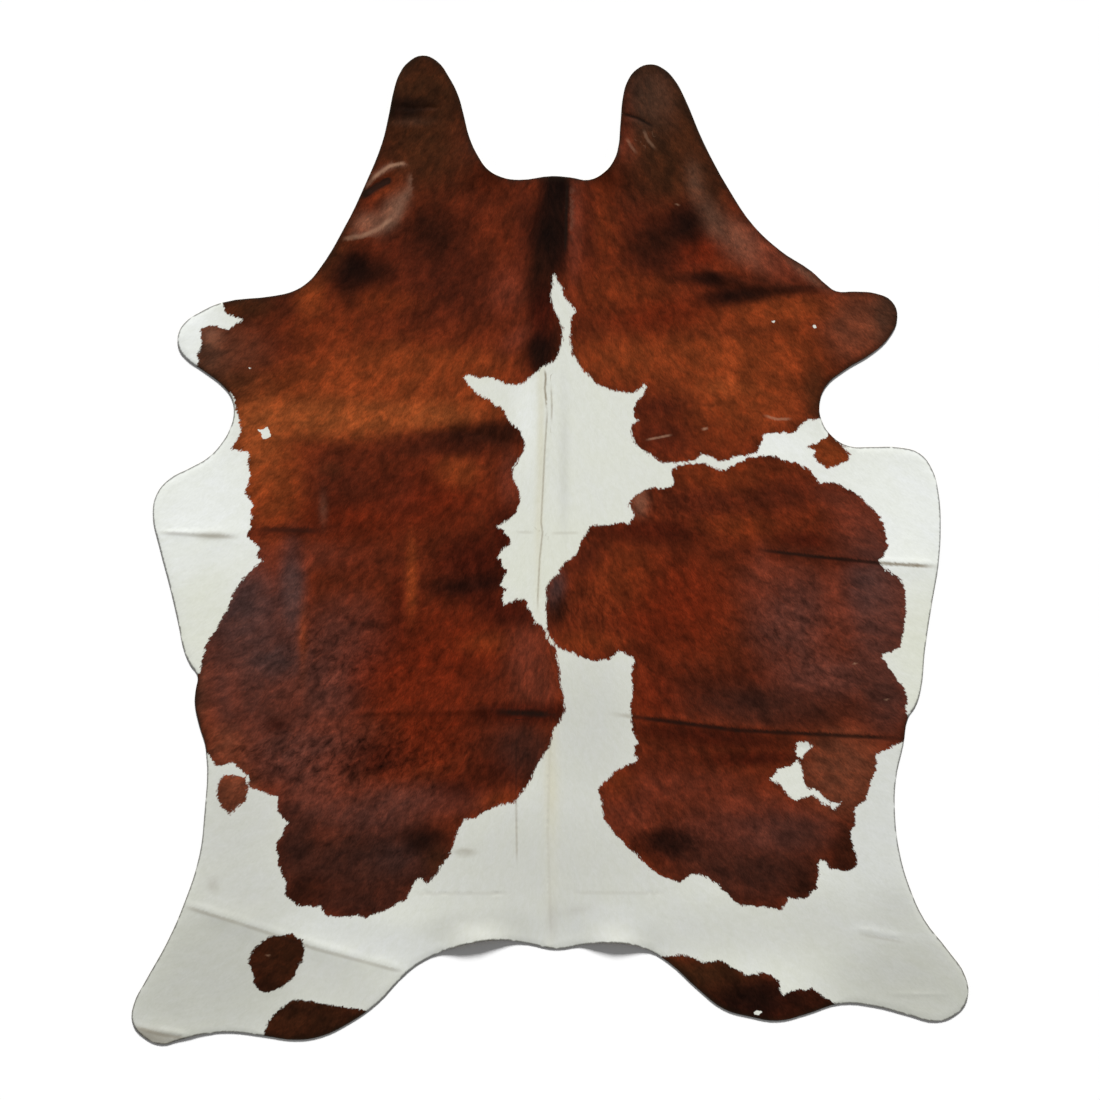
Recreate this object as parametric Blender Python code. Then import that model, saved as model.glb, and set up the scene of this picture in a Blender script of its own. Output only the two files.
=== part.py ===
"""Cowhide rug: one whole hide, hair side up, lying flat on a floor.

The hide is a single sheet. Its outline runs round the neck, the two cheeks,
the four shanks, the flanks and the tail edge. The sheet lies on the floor and
only rises a little along its creases and where its edge has curled.

+X points to the right of the hide seen from above, +Y towards the neck and
+Z up. The origin is on the floor, in the middle of the outline's box.
"""

from collections import namedtuple
from math import cos, hypot, pi

import bmesh
import bpy
from mathutils import Vector

# ---- driving dimensions, in metres ----
HIDE_LENGTH = 2.125          # cheek tip to hind shank tip
THICKNESS = 0.003            # skin with its short lying coat
GRID = 0.072                 # spacing of the plain cuts across the flat sheet
CURVE_STEPS = 4              # straight steps between two outline marks
FOLD_CUTS = (-1.0, -0.5, 0.0, 0.5, 1.0)      # cuts beside a fold, in its half-widths
LIFT_CUTS = (-1.0, -0.7, -0.4, 0.0, 0.4, 0.7, 1.0)   # cuts over a lift, in its radii
MERGE = 0.004                # a cut this near a corner goes through the corner

# ---- the hide's marks, in centimetres on a hide 212.3 cm long ----
MARKED_LENGTH = 212.3
MARK = HIDE_LENGTH / MARKED_LENGTH           # metres in one marked centimetre

# Each mark is (across, along): across from the spine, to the right of it, and
# along from the middle of the hide, towards the neck. The sections follow one
# another against the clock, and a smooth curve runs through all the marks.
OUTLINE = {
    "neck edge": (
        (4.4, 80.1), (0.5, 80.4), (-6.5, 79.6), (-10.4, 80.2),
        (-13.3, 81.8), (-15.2, 84.4), (-17.2, 88.7), (-18.5, 93.8)),
    "left cheek": (
        (-19.6, 97.7), (-21.5, 101.5), (-24.2, 105.1), (-27.3, 106.3),
        (-30.3, 104.9), (-32.3, 102.2), (-33.4, 98.9), (-34.6, 93.0)),
    "left neck": (
        (-36.0, 87.4), (-39.4, 79.0), (-44.2, 69.0), (-49.6, 60.2),
        (-51.9, 57.6), (-55.0, 55.7), (-59.0, 54.7), (-70.4, 53.2)),
    "left fore shank": (
        (-75.5, 50.9), (-78.2, 49.0), (-79.6, 46.8), (-79.7, 44.0),
        (-78.0, 41.3), (-74.5, 38.7), (-70.0, 35.2), (-68.2, 32.6),
        (-67.8, 29.4), (-68.6, 26.2), (-70.8, 22.5), (-73.5, 19.8),
        (-77.0, 17.8), (-81.8, 15.2)),
    "left flank": (
        (-84.4, 12.0), (-85.2, 8.0), (-83.9, 1.5), (-81.3, -8.5),
        (-79.6, -16.0), (-78.5, -21.2), (-77.1, -24.5), (-75.6, -26.7),
        (-76.0, -30.0), (-76.2, -32.5), (-75.2, -37.5), (-73.8, -42.5),
        (-74.2, -57.5), (-75.2, -65.5), (-78.3, -75.4)),
    "left hind shank": (
        (-82.2, -84.3), (-86.9, -92.7), (-89.2, -97.2), (-89.6, -101.0),
        (-87.2, -104.3), (-83.2, -106.0), (-79.5, -105.0), (-74.5, -103.9),
        (-68.5, -103.4), (-61.5, -104.2), (-54.5, -105.1), (-49.0, -104.3),
        (-43.1, -101.5), (-37.0, -97.2), (-30.5, -90.4)),
    "tail edge": (
        (-25.5, -87.2), (-18.8, -84.7), (-11.0, -83.6), (-4.5, -84.4),
        (1.5, -85.5), (8.0, -84.5), (14.0, -84.2), (20.0, -85.3),
        (25.5, -88.4), (31.9, -94.2), (37.5, -98.5), (43.0, -100.1),
        (49.0, -101.0), (55.0, -99.6), (62.5, -97.3), (70.0, -97.9),
        (77.0, -99.7)),
    "right hind shank": (
        (83.0, -101.1), (87.2, -99.6), (89.7, -96.2), (89.3, -91.5),
        (85.5, -85.8), (80.5, -79.3), (77.3, -72.3), (75.2, -65.0),
        (74.2, -57.0), (74.4, -49.0), (76.0, -41.5), (77.1, -35.6),
        (78.5, -33.5), (79.7, -30.0)),
    "right flank": (
        (80.6, -21.5), (82.0, -12.0), (83.5, -3.0), (84.0, 5.0),
        (83.5, 12.5), (82.2, 17.3), (79.5, 20.8), (75.0, 22.1),
        (69.0, 22.2)),
    "right fore shank": (
        (64.3, 22.4), (60.8, 24.4), (58.4, 28.0), (58.0, 31.5),
        (59.3, 35.2), (63.2, 38.6), (69.5, 42.5), (73.0, 45.9),
        (74.7, 50.0), (73.5, 53.5), (70.0, 55.2), (65.5, 55.6),
        (61.5, 55.7), (59.3, 57.2)),
    "right neck": (
        (56.2, 60.0), (49.5, 64.4), (44.0, 69.5), (38.3, 77.9),
        (33.0, 87.7), (29.0, 97.2)),
    "right cheek": (
        (26.9, 101.0), (24.4, 103.5), (21.7, 104.4), (18.8, 103.4),
        (16.7, 100.7), (15.7, 97.0), (15.3, 92.5), (14.9, 87.5),
        (13.8, 83.7), (11.7, 81.1), (8.5, 79.6)),
}

# A fold is a soft ridge along a few marks. Its height and half-width are in
# marked centimetres, and it fades out over its last stretch at both ends.
Fold = namedtuple("Fold", "name height half_width fade path")
FOLDS = (
    Fold("left hind shank fold", 0.8, 3.6, 8.0,
         ((-80.5, -75.2), (-66.0, -80.0), (-50.0, -85.0), (-29.0, -90.6))),
    Fold("long right crease", 0.5, 3.2, 9.0,
         ((19.0, -35.6), (40.0, -38.4), (78.0, -40.4))),
    Fold("right flank crease", 0.6, 3.2, 7.0,
         ((53.0, -0.9), (71.0, -2.5), (86.0, -3.5))),
    Fold("left patch crease", 0.4, 3.2, 9.0,
         ((-77.0, -35.0), (-40.0, -35.2), (4.0, -34.2))),
    Fold("left flank crease", 0.5, 3.2, 7.0,
         ((-86.0, 4.4), (-62.0, 2.6))),
    Fold("upper spine crease", 0.5, 3.2, 8.0,
         ((4.2, 82.0), (3.2, 62.0), (-0.4, 38.0), (-0.3, 16.0))),
    Fold("lower spine crease", 0.3, 3.2, 10.0,
         ((-0.6, -16.0), (0.3, -87.0))),
    Fold("left back crease", 0.3, 2.8, 8.0,
         ((-7.1, -38.0), (-7.1, -64.0))),
    Fold("left neck pucker", 0.7, 3.0, 5.0,
         ((-45.0, 67.6), (-37.5, 68.4), (-31.6, 75.2), (-29.6, 80.4), (-35.6, 81.4))),
    Fold("right neck roll", 0.6, 4.0, 9.0,
         ((29.0, 90.0), (33.5, 75.0), (40.0, 66.5), (52.0, 60.5))),
    Fold("left shank tip fold", 0.7, 2.6, 5.0,
         ((-90.5, -101.2), (-83.0, -103.2), (-72.0, -104.2))),
)

# A lift is where the edge has curled off the floor: a rounded bump round one
# mark, with its height and its two radii in marked centimetres.
Lift = namedtuple("Lift", "name height across along across_radius along_radius")
LIFTS = (
    Lift("left tail arch", 1.9, -15.0, -86.5, 11.0, 8.5),
    Lift("right tail arch", 1.7, 14.0, -86.5, 9.5, 8.0),
    Lift("left neck curl", 1.3, -14.0, 82.5, 7.0, 7.0),
    Lift("right neck curl", 1.5, 13.0, 82.5, 7.0, 7.0),
    Lift("left cheek curl", 0.6, -33.5, 97.0, 5.5, 9.0),
    Lift("right hind shank curl", 0.9, 89.0, -92.0, 9.0, 10.0),
    Lift("left fore shank curl", 0.6, -79.0, 46.0, 7.0, 8.0),
)

# ---- the finish ----
COAT_COLOUR = (0.158, 0.042, 0.017, 1.0)
COAT_ROUGHNESS = 0.6


def place(mark):
    """A mark's point on the floor, in metres."""
    across, along = mark
    return Vector((across * MARK, along * MARK, 0.0))


def hump(distance):
    """A smooth hump: 1 at distance 0, falling to 0 at distance 1."""
    if distance >= 1.0:
        return 0.0
    return 0.5 + 0.5 * cos(pi * distance)


def nearest_on_path(point, path):
    """How far a point is from a path, and how far along it from its nearer end."""
    length = sum((end - start).length for start, end in zip(path, path[1:]))
    best_distance = best_run = None
    run = 0.0
    for start, end in zip(path, path[1:]):
        step = end - start
        share = min(max((point - start).dot(step) / step.length_squared, 0.0), 1.0)
        distance = (start + share * step - point).length
        if best_distance is None or distance < best_distance:
            best_distance = distance
            best_run = run + share * step.length
        run += step.length
    return best_distance, min(best_run, length - best_run)


def height_at(point):
    """How far the hide's underside is off the floor at a point."""
    flat = Vector((point.x, point.y, 0.0))
    height = 0.0
    for fold in FOLDS:
        distance, run = nearest_on_path(flat, [place(mark) for mark in fold.path])
        fade = 1.0 - hump(min(run / (fold.fade * MARK), 1.0))
        height += fold.height * MARK * hump(distance / (fold.half_width * MARK)) * fade
    for lift in LIFTS:
        away = flat - place((lift.across, lift.along))
        distance = hypot(away.x / (lift.across_radius * MARK),
                         away.y / (lift.along_radius * MARK))
        height += lift.height * MARK * hump(distance)
    return height


def outline_points():
    """The outline as evenly smooth points, read from a closed curve through its marks."""
    marks = [mark for section in OUTLINE.values() for mark in section]
    curve = bpy.data.curves.new("outline", 'CURVE')
    curve.dimensions = '2D'
    curve.fill_mode = 'NONE'
    curve.resolution_u = CURVE_STEPS
    spline = curve.splines.new('BEZIER')
    spline.bezier_points.add(len(marks) - 1)
    for knot, mark in zip(spline.bezier_points, marks):
        knot.co = place(mark)
        knot.handle_left_type = knot.handle_right_type = 'AUTO'
    spline.use_cyclic_u = True
    guide = bpy.data.objects.new("outline", curve)
    bpy.context.collection.objects.link(guide)
    bpy.context.view_layer.update()
    points = [vertex.co.copy() for vertex in guide.to_mesh().vertices]
    guide.to_mesh_clear()
    bpy.data.objects.remove(guide)
    return points


def cut(bm, faces, point, direction):
    """Cut some faces along an upright plane."""
    edges = {edge for face in faces for edge in face.edges}
    verts = {vert for face in faces for vert in face.verts}
    bmesh.ops.bisect_plane(bm, geom=[*verts, *edges, *faces], dist=MERGE,
                           plane_co=point, plane_no=direction)


def cut_grid(bm):
    """Cut the whole sheet into a plain square grid."""
    for axis in (Vector((1.0, 0.0, 0.0)), Vector((0.0, 1.0, 0.0))):
        reach = max(abs(vert.co.dot(axis)) for vert in bm.verts)
        count = int(reach / GRID)
        for step in range(-count, count + 1):
            cut(bm, bm.faces[:], axis * (step * GRID), axis)


def cut_fold(bm, fold):
    """Score the sheet along a fold and beside it, so that the ridge is even."""
    half_width = fold.half_width * MARK
    path = [place(mark) for mark in fold.path]
    for start, end in zip(path, path[1:]):
        run = (end - start).normalized()
        side = run.cross(Vector((0.0, 0.0, 1.0)))
        for share in FOLD_CUTS:
            near = [face for face in bm.faces
                    if touches_strip(face, start, end, run, side, half_width)]
            cut(bm, near, start + side * (share * half_width), side)


def touches_strip(face, start, end, run, side, half_width):
    """Whether a face reaches into the strip that a fold's straight stretch covers."""
    across = [(vert.co - start).dot(side) for vert in face.verts]
    along = [(vert.co - start).dot(run) for vert in face.verts]
    beside = min(across) < half_width + MERGE and max(across) > -half_width - MERGE
    middle = sum(along) / len(along)
    return beside and -half_width < middle < (end - start).length + half_width


def cut_lift(bm, lift):
    """Cut a finer grid where the edge curls up."""
    centre = place((lift.across, lift.along))
    radii = (lift.across_radius * MARK, lift.along_radius * MARK)
    for axis, radius in zip((Vector((1.0, 0.0, 0.0)), Vector((0.0, 1.0, 0.0))), radii):
        for share in LIFT_CUTS:
            near = [face for face in bm.faces if within(face, centre, radii)]
            cut(bm, near, centre + axis * (share * radius), axis)


def within(face, centre, radii):
    """Whether a face's middle lies in the box round a lift."""
    away = face.calc_center_median() - centre
    return abs(away.x) < radii[0] * 1.1 and abs(away.y) < radii[1] * 1.1


def coat_material():
    """Reddish brown hair, fairly matt."""
    material = bpy.data.materials.new("brown hair coat")
    material.use_nodes = True
    shader = material.node_tree.nodes["Principled BSDF"]
    shader.inputs["Base Color"].default_value = COAT_COLOUR
    shader.inputs["Roughness"].default_value = COAT_ROUGHNESS
    shader.inputs["Metallic"].default_value = 0.0
    material.diffuse_color = COAT_COLOUR
    return material


def make_hide():
    """The whole hide: one sheet cut to the outline, creased, and given its thickness."""
    bm = bmesh.new()
    rim = [bm.verts.new(point) for point in outline_points()]
    bm.faces.new(rim)
    cut_grid(bm)
    for lift in LIFTS:
        cut_lift(bm, lift)
    for fold in FOLDS:
        cut_fold(bm, fold)
    bmesh.ops.triangulate(bm, faces=bm.faces[:])
    for vert in bm.verts:
        vert.co.z = height_at(vert.co)
    bmesh.ops.recalc_face_normals(bm, faces=bm.faces[:])
    if sum(face.normal.z for face in bm.faces) < 0.0:
        bmesh.ops.reverse_faces(bm, faces=bm.faces[:])
    mesh = bpy.data.meshes.new("hide")
    bm.to_mesh(mesh)
    bm.free()

    hide = bpy.data.objects.new("hide", mesh)
    bpy.context.collection.objects.link(hide)
    skin = hide.modifiers.new("thickness", 'SOLIDIFY')
    skin.thickness = THICKNESS
    skin.offset = 1.0
    hide.data.materials.append(coat_material())
    return hide


for old in list(bpy.data.objects):
    bpy.data.objects.remove(old)
make_hide()
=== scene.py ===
"""Looks of a cowhide rug, laid out as a Blender add-on and run as a script.

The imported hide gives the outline, the thickness and the main folds. This file
adds the fine surface: the coat with its brown patches on an off-white ground,
the lie of the hair, the small creases, the cut edge and the flesh side.

Tables of marks are in centimetres on a hide MARKED_LENGTH long: across from
the spine, to the right, and along from the middle, towards the neck.
"""
from collections import namedtuple
from math import cos, pi, radians, sin

import bmesh
import bpy
import numpy as np
from bpy.props import FloatProperty, FloatVectorProperty, PointerProperty
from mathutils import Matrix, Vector, kdtree


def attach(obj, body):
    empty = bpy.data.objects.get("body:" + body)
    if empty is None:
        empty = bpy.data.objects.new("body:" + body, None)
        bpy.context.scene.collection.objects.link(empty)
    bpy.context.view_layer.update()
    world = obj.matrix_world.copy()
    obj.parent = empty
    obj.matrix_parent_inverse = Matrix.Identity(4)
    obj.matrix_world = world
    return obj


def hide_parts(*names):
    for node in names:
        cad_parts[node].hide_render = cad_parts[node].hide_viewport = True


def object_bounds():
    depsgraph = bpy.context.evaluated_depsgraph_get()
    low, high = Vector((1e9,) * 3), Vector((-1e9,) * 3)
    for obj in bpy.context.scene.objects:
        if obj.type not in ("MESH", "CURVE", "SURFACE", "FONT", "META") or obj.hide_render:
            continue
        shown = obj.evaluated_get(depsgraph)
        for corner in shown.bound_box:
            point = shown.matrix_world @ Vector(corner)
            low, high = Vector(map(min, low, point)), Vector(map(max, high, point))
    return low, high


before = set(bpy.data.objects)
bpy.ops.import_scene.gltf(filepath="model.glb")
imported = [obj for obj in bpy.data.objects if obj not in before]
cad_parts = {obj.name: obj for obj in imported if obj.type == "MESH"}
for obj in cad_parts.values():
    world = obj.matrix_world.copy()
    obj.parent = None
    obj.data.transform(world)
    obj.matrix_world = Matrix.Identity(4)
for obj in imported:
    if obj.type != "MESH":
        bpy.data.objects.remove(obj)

bl_info = {
    "name": "Cowhide rug",
    "version": (1, 0, 0),
    "blender": (4, 5, 0),
    "location": "View3D > Sidebar > Cowhide",
    "description": "Dresses a cowhide rug: its coat, its cut edge, its flesh side and its stage",
    "category": "Object",
}

CAD_LOW, CAD_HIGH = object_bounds()
MARKED_LENGTH = 212.56         # marked centimetres from cheek tip to hind shank tip
MARK = (CAD_HIGH.y - CAD_LOW.y) / MARKED_LENGTH
MILLIMETRE = 0.001             # in metres, which all sizes below are in unless they say otherwise
CAD_THICKNESS = 0.003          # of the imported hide
COAT, EDGE, FLESH = range(3)   # the hide's material slots

# ---- the hide's mesh ----
WELD = 0.00002                 # packed points as near as this are one
ON_SPINE = 0.00001             # how near to x = 0 a point is on the spine
MOST_PASSES = 22               # of halving the coat's long edges
FINE_BY_BORDER = 0.016         # how far from a border the mesh is fine
FINE_BY_LINE = 0.004           # how far beyond a crease's or a thin line's sides it is fine
RELAXINGS, RELAX = 3, 0.5      # how often, and how far, points are moved amid their neighbours
FOLD_ROUNDS = 5                # of rounding the folds
# waves in the creases' rise: height, radians to the metre across and along, and start
WAVES = ((0.22, 31, 17, 0.0), (0.18, -29, 53, 1.3))
RIM_STEP = 0.002               # between the points that stand for the coat's edge
LINE_REACH, LINE_WIDTHS = 0.013, 6.0    # how far a thin line is felt, and in half widths

# ---- the lie of the hair ----
LEAN = 0.5                     # how far the hair slants away from the spine, per metre along it
SPINE_REACH, SPINE_GAIN = 0.12, 1.5     # near the spine it lies closer to the spine's own line
FLANK_START, FLANK_WIDTH, FLANK_LOSS = 0.40, 0.45, 0.5  # and further from it on the flanks
OTHER_SIDE = 3.7               # how far apart the two sides' strands are taken from the noise

# ---- the stage ----
FLOOR_SIZE, FLOOR_DROP = 30.0, 0.0006   # half the floor's side, and its depth under the hide
KEY_TURN = radians(-4.0)       # how far the key light stands off the spine's line
PHOTO_MIDDLE = (0.001, 0.001)  # where the middle of the photo falls on the hide
SENSOR_WIDTH = 36.0            # millimetres


def colour(red, green, blue):
    """A colour given as on a paint chart, 0 to 255, as the linear numbers Blender mixes."""
    shares = (red / 255.0, green / 255.0, blue / 255.0)
    return tuple(c / 12.92 if c <= 0.04045 else ((c + 0.055) / 1.055) ** 2.4 for c in shares)


# ---- where the brown hair grows: closed loops of marks, running past the hide's edge ----
BROWN = {
    "neck and left side": (
        (-70.4, 55.5), (-70.4, 53.2), (-70.1, 51.8), (-69.1, 50.7), (-66, 49.7), (-68.1, 47.9),
        (-68.9, 47.5), (-70.5, 48), (-72.4, 48.4), (-75, 47.8), (-74.9, 46.4), (-74.9, 44.6),
        (-75.6, 41.8), (-75.4, 40.3), (-76.8, 38), (-72, 33.5), (-68.6, 33.9), (-67.8, 33),
        (-67.3, 30.2), (-66.5, 27.7), (-66.3, 25.9), (-67.4, 23.6), (-68.3, 21.7), (-64.7, 21.2),
        (-64.4, 20.4), (-65.2, 19), (-64.2, 16.4), (-64.7, 14.9), (-65.4, 12.1), (-63.8, 10.5),
        (-64, 8.2), (-64.4, 4.9), (-65, 3.1), (-62.3, 0.5), (-63.1, -1.3), (-61.6, -2.2),
        (-64.2, -4.6), (-66.5, -6.7), (-68.1, -9.2), (-68.8, -11.8), (-70.4, -14.4), (-71.9, -17.4),
        (-73.6, -20), (-74.8, -23.5), (-75.1, -26.3), (-78, -28), (-79, -36), (-76, -44),
        (-73.4, -43.7), (-71.9, -46.3), (-70.2, -46.5), (-68.2, -45.4), (-66.7, -46.8),
        (-65, -48.6), (-64.4, -50.9), (-62.7, -51.4), (-60.4, -52.4), (-58.4, -53), (-58.4, -56.1),
        (-56.2, -58.4), (-57.2, -60.4), (-58.8, -63.3), (-58.5, -66.2), (-57.8, -69.6),
        (-56.5, -71.6), (-56.9, -74), (-54, -76.4), (-49.4, -76.6), (-47.7, -78.7), (-44.2, -78.8),
        (-41.6, -78.3), (-39.6, -79), (-35, -77.2), (-31, -75.2), (-29.5, -71.9), (-28.1, -70.2),
        (-26.4, -71.8), (-24, -69.4), (-23.4, -67.7), (-21.1, -65.1), (-20.4, -62), (-19.3, -59.2),
        (-18.3, -57.8), (-15.8, -57.5), (-12.7, -55.5), (-9.2, -54.2), (-8, -54.4), (-6.8, -53.5),
        (-4.6, -50.2), (-2.5, -45.6), (0.2, -41.9), (0.9, -38.5), (2.1, -37), (3.4, -34.1),
        (2.6, -30), (1.9, -24.6), (1.3, -20.8), (0.9, -20.5), (0.2, -20.1), (-0.6, -19),
        (-0.9, -17.8), (-1.4, -16.5), (-2.4, -15.5), (-3, -16), (-3.6, -14.2), (-4.2, -13),
        (-4.9, -12), (-5, -10.8), (-5.8, -10.3), (-7, -10.4), (-8.2, -11), (-9.4, -11.8),
        (-10.2, -11.2), (-10, -9), (-9.2, -8.4), (-10.8, -7.3), (-10.2, -6.5), (-9.9, -5.6),
        (-9.2, -4.6), (-10.2, -3.1), (-10.2, -2), (-11, -1.7), (-10.5, -0.5), (-9.7, 0.6),
        (-8.6, 1.1), (-8.3, 1.9), (-9, 3.2), (-10, 4.3), (-11.2, 5.2), (-9.9, 5.9), (-8.6, 6.7),
        (-7, 8.2), (-6.5, 10), (-6.4, 12), (-7.2, 14.1), (-7.8, 15.5), (-7.7, 17.8), (-7, 19.2),
        (-5.8, 20.8), (-5, 22.8), (-5.9, 24.4), (-6.2, 25.6), (-7.7, 26.8), (-9, 28.2),
        (-9.5, 29.8), (-10.4, 30.7), (-11.5, 30.8), (-12.4, 32), (-13.8, 32.9), (-15.6, 33.9),
        (-17, 34.9), (-17.8, 36.2), (-18.7, 37.3), (-17.4, 37.8), (-15.4, 37.2), (-12.2, 37.1),
        (-10.3, 36.1), (-8.4, 35.6), (-5.9, 35.8), (-4.2, 37.1), (-1.1, 39.8), (0.4, 40.4),
        (1.6, 41.3), (2.6, 44.5), (2.8, 47.9), (2.2, 49.9), (1.1, 51.1), (0.4, 54), (0.5, 56.5),
        (0.9, 59.4), (2, 57.4), (2.8, 56.2), (3, 55), (4.3, 53.1), (5.7, 51.5), (4.7, 50.3),
        (4.4, 46.6), (4.8, 42.1), (7.4, 38.6), (9.3, 36.6), (11, 35.2), (13.5, 34.4), (17.6, 33.7),
        (19, 34.4), (20.8, 36.1), (20.4, 34), (19.2, 32.3), (18, 30.2), (18.1, 28.6), (19.4, 27.9),
        (17.7, 27.2), (17.4, 26), (18.2, 23.2), (19.5, 22.1), (22.4, 20), (24.4, 18.9),
        (26.5, 18.9), (31.3, 19.3), (32.6, 20.6), (34.5, 20.4), (36.3, 19.2), (38.6, 19.3),
        (39.4, 20.2), (41.4, 20.3), (44.6, 20.9), (45.3, 22.8), (45.9, 24.8), (47.6, 25.1),
        (50.3, 25.4), (52, 24.9), (53.2, 26), (55.4, 28.1), (61, 28.7), (80, 40), (80, 60),
        (40, 112), (10, 112), (-40, 112), (-60, 62)),
    "right side": (
        (26.2, 13.6), (26.7, 14.6), (26.4, 16), (26.2, 17.3), (28.8, 18.5), (31, 18.7),
        (33.3, 18.9), (35, 17.9), (37.1, 17.3), (39.4, 18.3), (41.2, 19.2), (43.1, 20.1),
        (47.6, 20.6), (50, 19.5), (53.1, 18.9), (55.6, 17.3), (57.3, 15.8), (57.9, 14.6),
        (61.3, 14.5), (64.9, 13.1), (66.9, 11.2), (70, 8.6), (71.8, 5.6), (72.5, 2.1), (72.8, 0.5),
        (72.1, -0.8), (70.8, -2.3), (72.6, -4.4), (74.6, -5.1), (76.2, -7.2), (76.6, -10.8),
        (76.6, -13.8), (75.9, -17.9), (75.2, -21), (71.4, -22.6), (72.9, -25), (74.2, -26.9),
        (75.8, -29.2), (77.1, -31.2), (76.6, -34.2), (77.4, -37.2), (77.5, -41), (75.9, -40.8),
        (74.2, -41.9), (70.2, -43.8), (70.2, -46.9), (68.7, -50.8), (68.2, -53.5), (65.4, -55.8),
        (65.8, -59.4), (64.7, -60.2), (64.8, -62), (66, -65.4), (66.2, -67.7), (64.6, -68.8),
        (62.5, -69), (60.4, -68.1), (58.4, -66.6), (57.6, -67.6), (57.9, -69.2), (57.2, -72.5),
        (55, -74.8), (51.2, -74.8), (49.6, -77.4), (45.8, -76.6), (43, -76.4), (40.4, -76.2),
        (38.4, -74), (35.8, -71.6), (32.3, -69.5), (30, -69.8), (28.1, -71.4), (24.8, -70.2),
        (21.9, -68.7), (18.1, -64.8), (14, -60.9), (11.8, -57.7), (11.1, -54.2), (10.5, -51.2),
        (13.7, -47.9), (16.5, -46), (19.4, -45.1), (18.3, -43.9), (18.2, -42.2), (19, -41.4),
        (17.8, -38.5), (17.3, -33.8), (17.9, -30), (17.6, -26.9), (18.2, -24), (17.8, -23),
        (16.2, -22.2), (15.2, -21.6), (14.5, -21.9), (13.8, -23), (12, -23.5), (10, -23.8),
        (8, -23.4), (6, -22.6), (4.9, -21.9), (4, -22), (2.6, -21.2), (1.4, -20.4), (0.6, -19.5),
        (-0.3, -18), (-0.7, -16), (-0.7, -14), (-0.9, -11.5), (-0.8, -9.5), (-0.7, -7.6),
        (0.1, -6.4), (1, -5.6), (2, -4.8), (2.4, -3.6), (3.2, -2.5), (4.6, -1.9), (5.9, -0.5),
        (6.4, 0.8), (6.9, 2.3), (8, 3.8), (8.6, 5.2), (10.5, 5.2), (14.4, 5.8), (17.2, 6),
        (18.3, 7.4), (17.9, 8.6), (16.8, 9.9), (18.8, 12), (20.3, 12.8), (22, 13.6), (24, 13.3)),
    "right shoulder spot": (
        (55.2, 22.2), (57.7, 23.2), (59.9, 24.6), (60.3, 26), (61.4, 24.2), (62.8, 22.8),
        (64.8, 20.8), (64.1, 19), (62.3, 18.5), (59.7, 17.6), (57.7, 19.2), (56.4, 20.5),
        (57.4, 21.4)),
    "left flank spot": (
        (-70.8, -48.9), (-69.6, -48.4), (-67.3, -48.4), (-65.3, -49.1), (-64.8, -50.6),
        (-65.3, -54), (-67, -54.9), (-68.9, -56.6), (-70.5, -55.2), (-71.5, -52.9), (-71.2, -50.6)),
    "left hind spot": (
        (-59.7, -82.9), (-55.2, -82.4), (-53, -83.8), (-52.7, -86.4), (-53.5, -89), (-55.2, -92.1),
        (-57.5, -94.1), (-61, -95.2), (-63.3, -93.6), (-63.8, -90.7), (-64.9, -88.7),
        (-63.8, -85.8), (-61.8, -83.8)),
    "left hind edge patch": (
        (-61.8, -106.5), (-61.4, -104.2), (-60.7, -101.7), (-58.6, -98.8), (-54.6, -96.5),
        (-49.4, -97.3), (-46, -97.9), (-41.3, -98.5), (-38.5, -99), (-40, -107)),
    "right tail edge patch": (
        (22.5, -88), (24.2, -87.2), (28.8, -86.9), (33.5, -88.5), (36.9, -88.1), (39.6, -89.6),
        (41.9, -91.2), (45.8, -90.8), (49.2, -92.3), (50, -95.8), (51.9, -94.6), (56.5, -94.2),
        (58.8, -95.8), (61.5, -97.2), (60, -104), (40, -104)),
}

# ---- white inside the brown ----
WHITE = {
    "small right hole": (
        (53, -41.2), (54.4, -41.4), (55.4, -41.2), (56.5, -42.2), (55.4, -43.1), (54.3, -44.4),
        (53, -44.3), (53.1, -43)),
    "large right hole": (
        (53.2, -45), (54.2, -46.5), (54.6, -50), (55.6, -51), (57.7, -51.7), (59.8, -53.6),
        (61, -54.4), (62.7, -54.1), (61.3, -55.4), (59.2, -54.6), (56.5, -52.6), (55, -53.1),
        (52.7, -53.6), (50.4, -51.6), (49.2, -50.1), (47.2, -49.1), (48.7, -48), (49.1, -46.9),
        (51.9, -46.4)),
    "left shoulder fleck": (
        (-62.8, 26), (-61.4, 26.1), (-60.7, 26.7), (-60.1, 25.4), (-59.7, 24.6), (-60.9, 24),
        (-62, 24), (-61.9, 25.1)),
    "left shank fleck": ((-64.7, 39.4), (-64.3, 39.6), (-64, 39.2), (-64.3, 38.9)),
    "shoulder fleck": ((47.6, 49.7), (48.4, 49.4), (48.6, 48.8), (47.8, 49)),
    "right shank fleck": ((56.6, 48.4), (57.2, 48.5), (57.3, 47.8), (56.8, 47.7)),
    "tail edge fleck": ((43.6, -99.6), (44.6, -98.8), (45.9, -99.1), (45, -99.9)),
}
FLECK_FIRMNESS = 3.0           # how much less than other borders a fleck's is run across by hair

# ---- ovals: a middle, two radii, a weight and a turn in degrees ----
Oval = namedtuple("Oval", "across along across_radius along_radius weight turn", defaults=(1, 0))


def dabs(*rows):
    """Dabs of tone, as pairs of a tone and an oval, from rows of a tone and its ovals.

    The more a dab's weight, the more it hides the tones near it.
    """
    return [(name, Oval(*oval)) for name, *ovals in rows for oval in ovals]


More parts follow.
